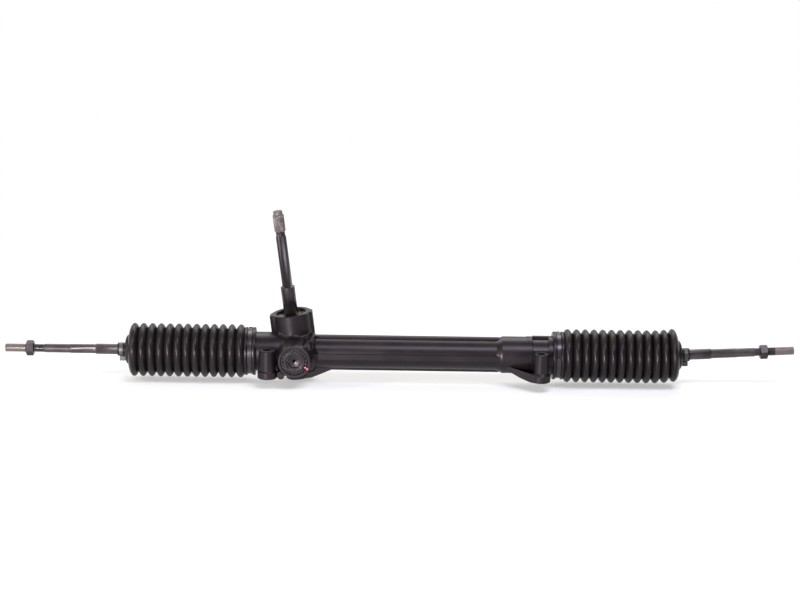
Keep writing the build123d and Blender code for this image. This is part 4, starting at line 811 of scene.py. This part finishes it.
stage_white = bpy.data.materials.new("stage_white")
stage_white.use_nodes = True
tree = stage_white.node_tree
shader = tree.nodes["Principled BSDF"]
shader.inputs["Base Color"].default_value = (0.88, 0.88, 0.88, 1)
shader.inputs["Roughness"].default_value = 0.9
shader.inputs["Specular IOR Level"].default_value = 0.0
place = tree.nodes.new("ShaderNodeTexCoord")
away = tree.nodes.new("ShaderNodeVectorMath")
away.operation = "DISTANCE"
away.inputs[1].default_value = STAGE_MIDDLE
tree.links.new(place.outputs["Object"], away.inputs[0])
fade = tree.nodes.new("ShaderNodeMapRange")
fade.interpolation_type = "SMOOTHSTEP"
fade.inputs["From Min"].default_value = SHADOW_REACH
fade.inputs["From Max"].default_value = WHITE_FROM
fade.inputs["To Min"].default_value = LEAST_WHITE
tree.links.new(away.outputs["Value"], fade.inputs["Value"])
paths = tree.nodes.new("ShaderNodeLightPath")
looked_at = tree.nodes.new("ShaderNodeMath")
looked_at.operation = "MAXIMUM"
tree.links.new(paths.outputs["Is Camera Ray"], looked_at.inputs[0])
tree.links.new(paths.outputs["Is Glossy Ray"], looked_at.inputs[1])
share = tree.nodes.new("ShaderNodeMath")
share.operation = "MULTIPLY"
tree.links.new(fade.outputs["Result"], share.inputs[0])
tree.links.new(looked_at.outputs[0], share.inputs[1])
white = tree.nodes.new("ShaderNodeEmission")
mixed = tree.nodes.new("ShaderNodeMixShader")
tree.links.new(share.outputs[0], mixed.inputs[0])
tree.links.new(shader.outputs[0], mixed.inputs[1])
tree.links.new(white.outputs[0], mixed.inputs[2])
tree.links.new(mixed.outputs[0], tree.nodes["Material Output"].inputs["Surface"])
floor_mesh = bpy.data.meshes.new("floor")
ground = cad_box[0].z - FLOOR_GAP
corners = [(x * FLOOR_REACH, y * FLOOR_REACH, ground) for x, y in ((-1, -1), (1, -1), (1, 1), (-1, 1))]
floor_mesh.from_pydata(corners, [], [(0, 1, 2, 3)])
floor_mesh.materials.append(stage_white)
floor = bpy.data.objects.new("floor", floor_mesh)
bpy.context.scene.collection.objects.link(floor)

world = bpy.data.worlds.new("studio")
bpy.context.scene.world = world
world.use_nodes = True
tree = world.node_tree
background = tree.nodes["Background"]
background.inputs["Color"].default_value = (1, 1, 1, 1)
paths = tree.nodes.new("ShaderNodeLightPath")
seen = tree.nodes.new("ShaderNodeMath")
seen.operation = "MAXIMUM"
tree.links.new(paths.outputs["Is Camera Ray"], seen.inputs[0])
tree.links.new(paths.outputs["Is Transmission Ray"], seen.inputs[1])
direction = tree.nodes.new("ShaderNodeTexCoord")
parts = tree.nodes.new("ShaderNodeSeparateXYZ")
tree.links.new(direction.outputs["Generated"], parts.inputs[0])
behind = tree.nodes.new("ShaderNodeMapRange")
behind.interpolation_type = "SMOOTHSTEP"
behind.inputs["From Min"].default_value, behind.inputs["From Max"].default_value = FAR_WALL
tree.links.new(parts.outputs["Y"], behind.inputs["Value"])
mirrored = tree.nodes.new("ShaderNodeMath")
mirrored.operation = "MULTIPLY"
tree.links.new(behind.outputs["Result"], mirrored.inputs[0])
tree.links.new(paths.outputs["Is Glossy Ray"], mirrored.inputs[1])
either = tree.nodes.new("ShaderNodeMath")
either.operation = "MAXIMUM"
tree.links.new(seen.outputs[0], either.inputs[0])
tree.links.new(mirrored.outputs[0], either.inputs[1])
level = tree.nodes.new("ShaderNodeMapRange")
level.inputs["To Min"].default_value = ROOM_LEVEL
level.inputs["To Max"].default_value = 1.0
tree.links.new(either.outputs[0], level.inputs["Value"])
tree.links.new(level.outputs["Result"], background.inputs["Strength"])


def soft_light(name, place, aim, size, power, colour):
    """Wide lamp turned to its aim."""
    lamp = bpy.data.lights.new(name, "AREA")
    lamp.shape = "RECTANGLE"
    lamp.size, lamp.size_y = size
    lamp.energy = power
    lamp.color = colour
    light = bpy.data.objects.new(name, lamp)
    bpy.context.scene.collection.objects.link(light)
    light.location = place
    light.visible_camera = False
    light.rotation_euler = (Vector(aim) - Vector(place)).to_track_quat("-Z", "Y").to_euler()


soft_light("overhead", place=(0.55, -0.80, 1.40), aim=(0.19, 0.03, 0.03), size=(1.2, 0.35), power=24,
           colour=(0.88, 0.91, 1.0))
soft_light("left_tall", place=(-2.0, -0.9, 0.75), aim=(0.15, 0.03, 0.05), size=(0.30, 1.5), power=36,
           colour=(1.0, 0.97, 0.95))
soft_light("front_low", place=(-0.50, -1.55, 0.13), aim=(0.10, 0.03, 0.04), size=(0.11, 0.26), power=54,
           colour=(1.0, 0.96, 0.95))
soft_light("behind", place=(0.20, 1.2, 1.6), aim=(0.19, 0.03, 0.03), size=(2.6, 0.9), power=36,
           colour=(1.0, 0.96, 0.95))

PICTURE_WIDTH, PICTURE_HEIGHT = 800, 600
TARGET_PIXEL = (404.19, 353.19)
PIXELS_PER_METRE = 706
SENSOR = 36
CAMERA_DISTANCE = 2.964
elevation, yaw, roll = radians(16.26), radians(0.99), radians(1.11)
focal_pixels = PIXELS_PER_METRE * CAMERA_DISTANCE
forward = Vector((sin(yaw) * cos(elevation), cos(yaw) * cos(elevation), -sin(elevation)))
level_right = Vector((cos(yaw), -sin(yaw), 0))
level_up = level_right.cross(forward)
right = level_right * cos(roll) + level_up * sin(roll)
up = level_up * cos(roll) - level_right * sin(roll)
camera_data = bpy.data.cameras.new("camera")
camera = bpy.data.objects.new("camera", camera_data)
bpy.context.scene.collection.objects.link(camera)
turned = Matrix((right, up, -forward)).transposed().to_4x4()
camera.matrix_world = Matrix.Translation(MIDDLE - forward * CAMERA_DISTANCE) @ turned
camera_data.sensor_width = SENSOR
camera_data.lens = focal_pixels / PICTURE_WIDTH * SENSOR
camera_data.shift_x = -(TARGET_PIXEL[0] - PICTURE_WIDTH / 2) / PICTURE_WIDTH
camera_data.shift_y = (TARGET_PIXEL[1] - PICTURE_HEIGHT / 2) / PICTURE_WIDTH
bpy.context.scene.camera = camera
bpy.context.scene.view_settings.view_transform = "Standard"
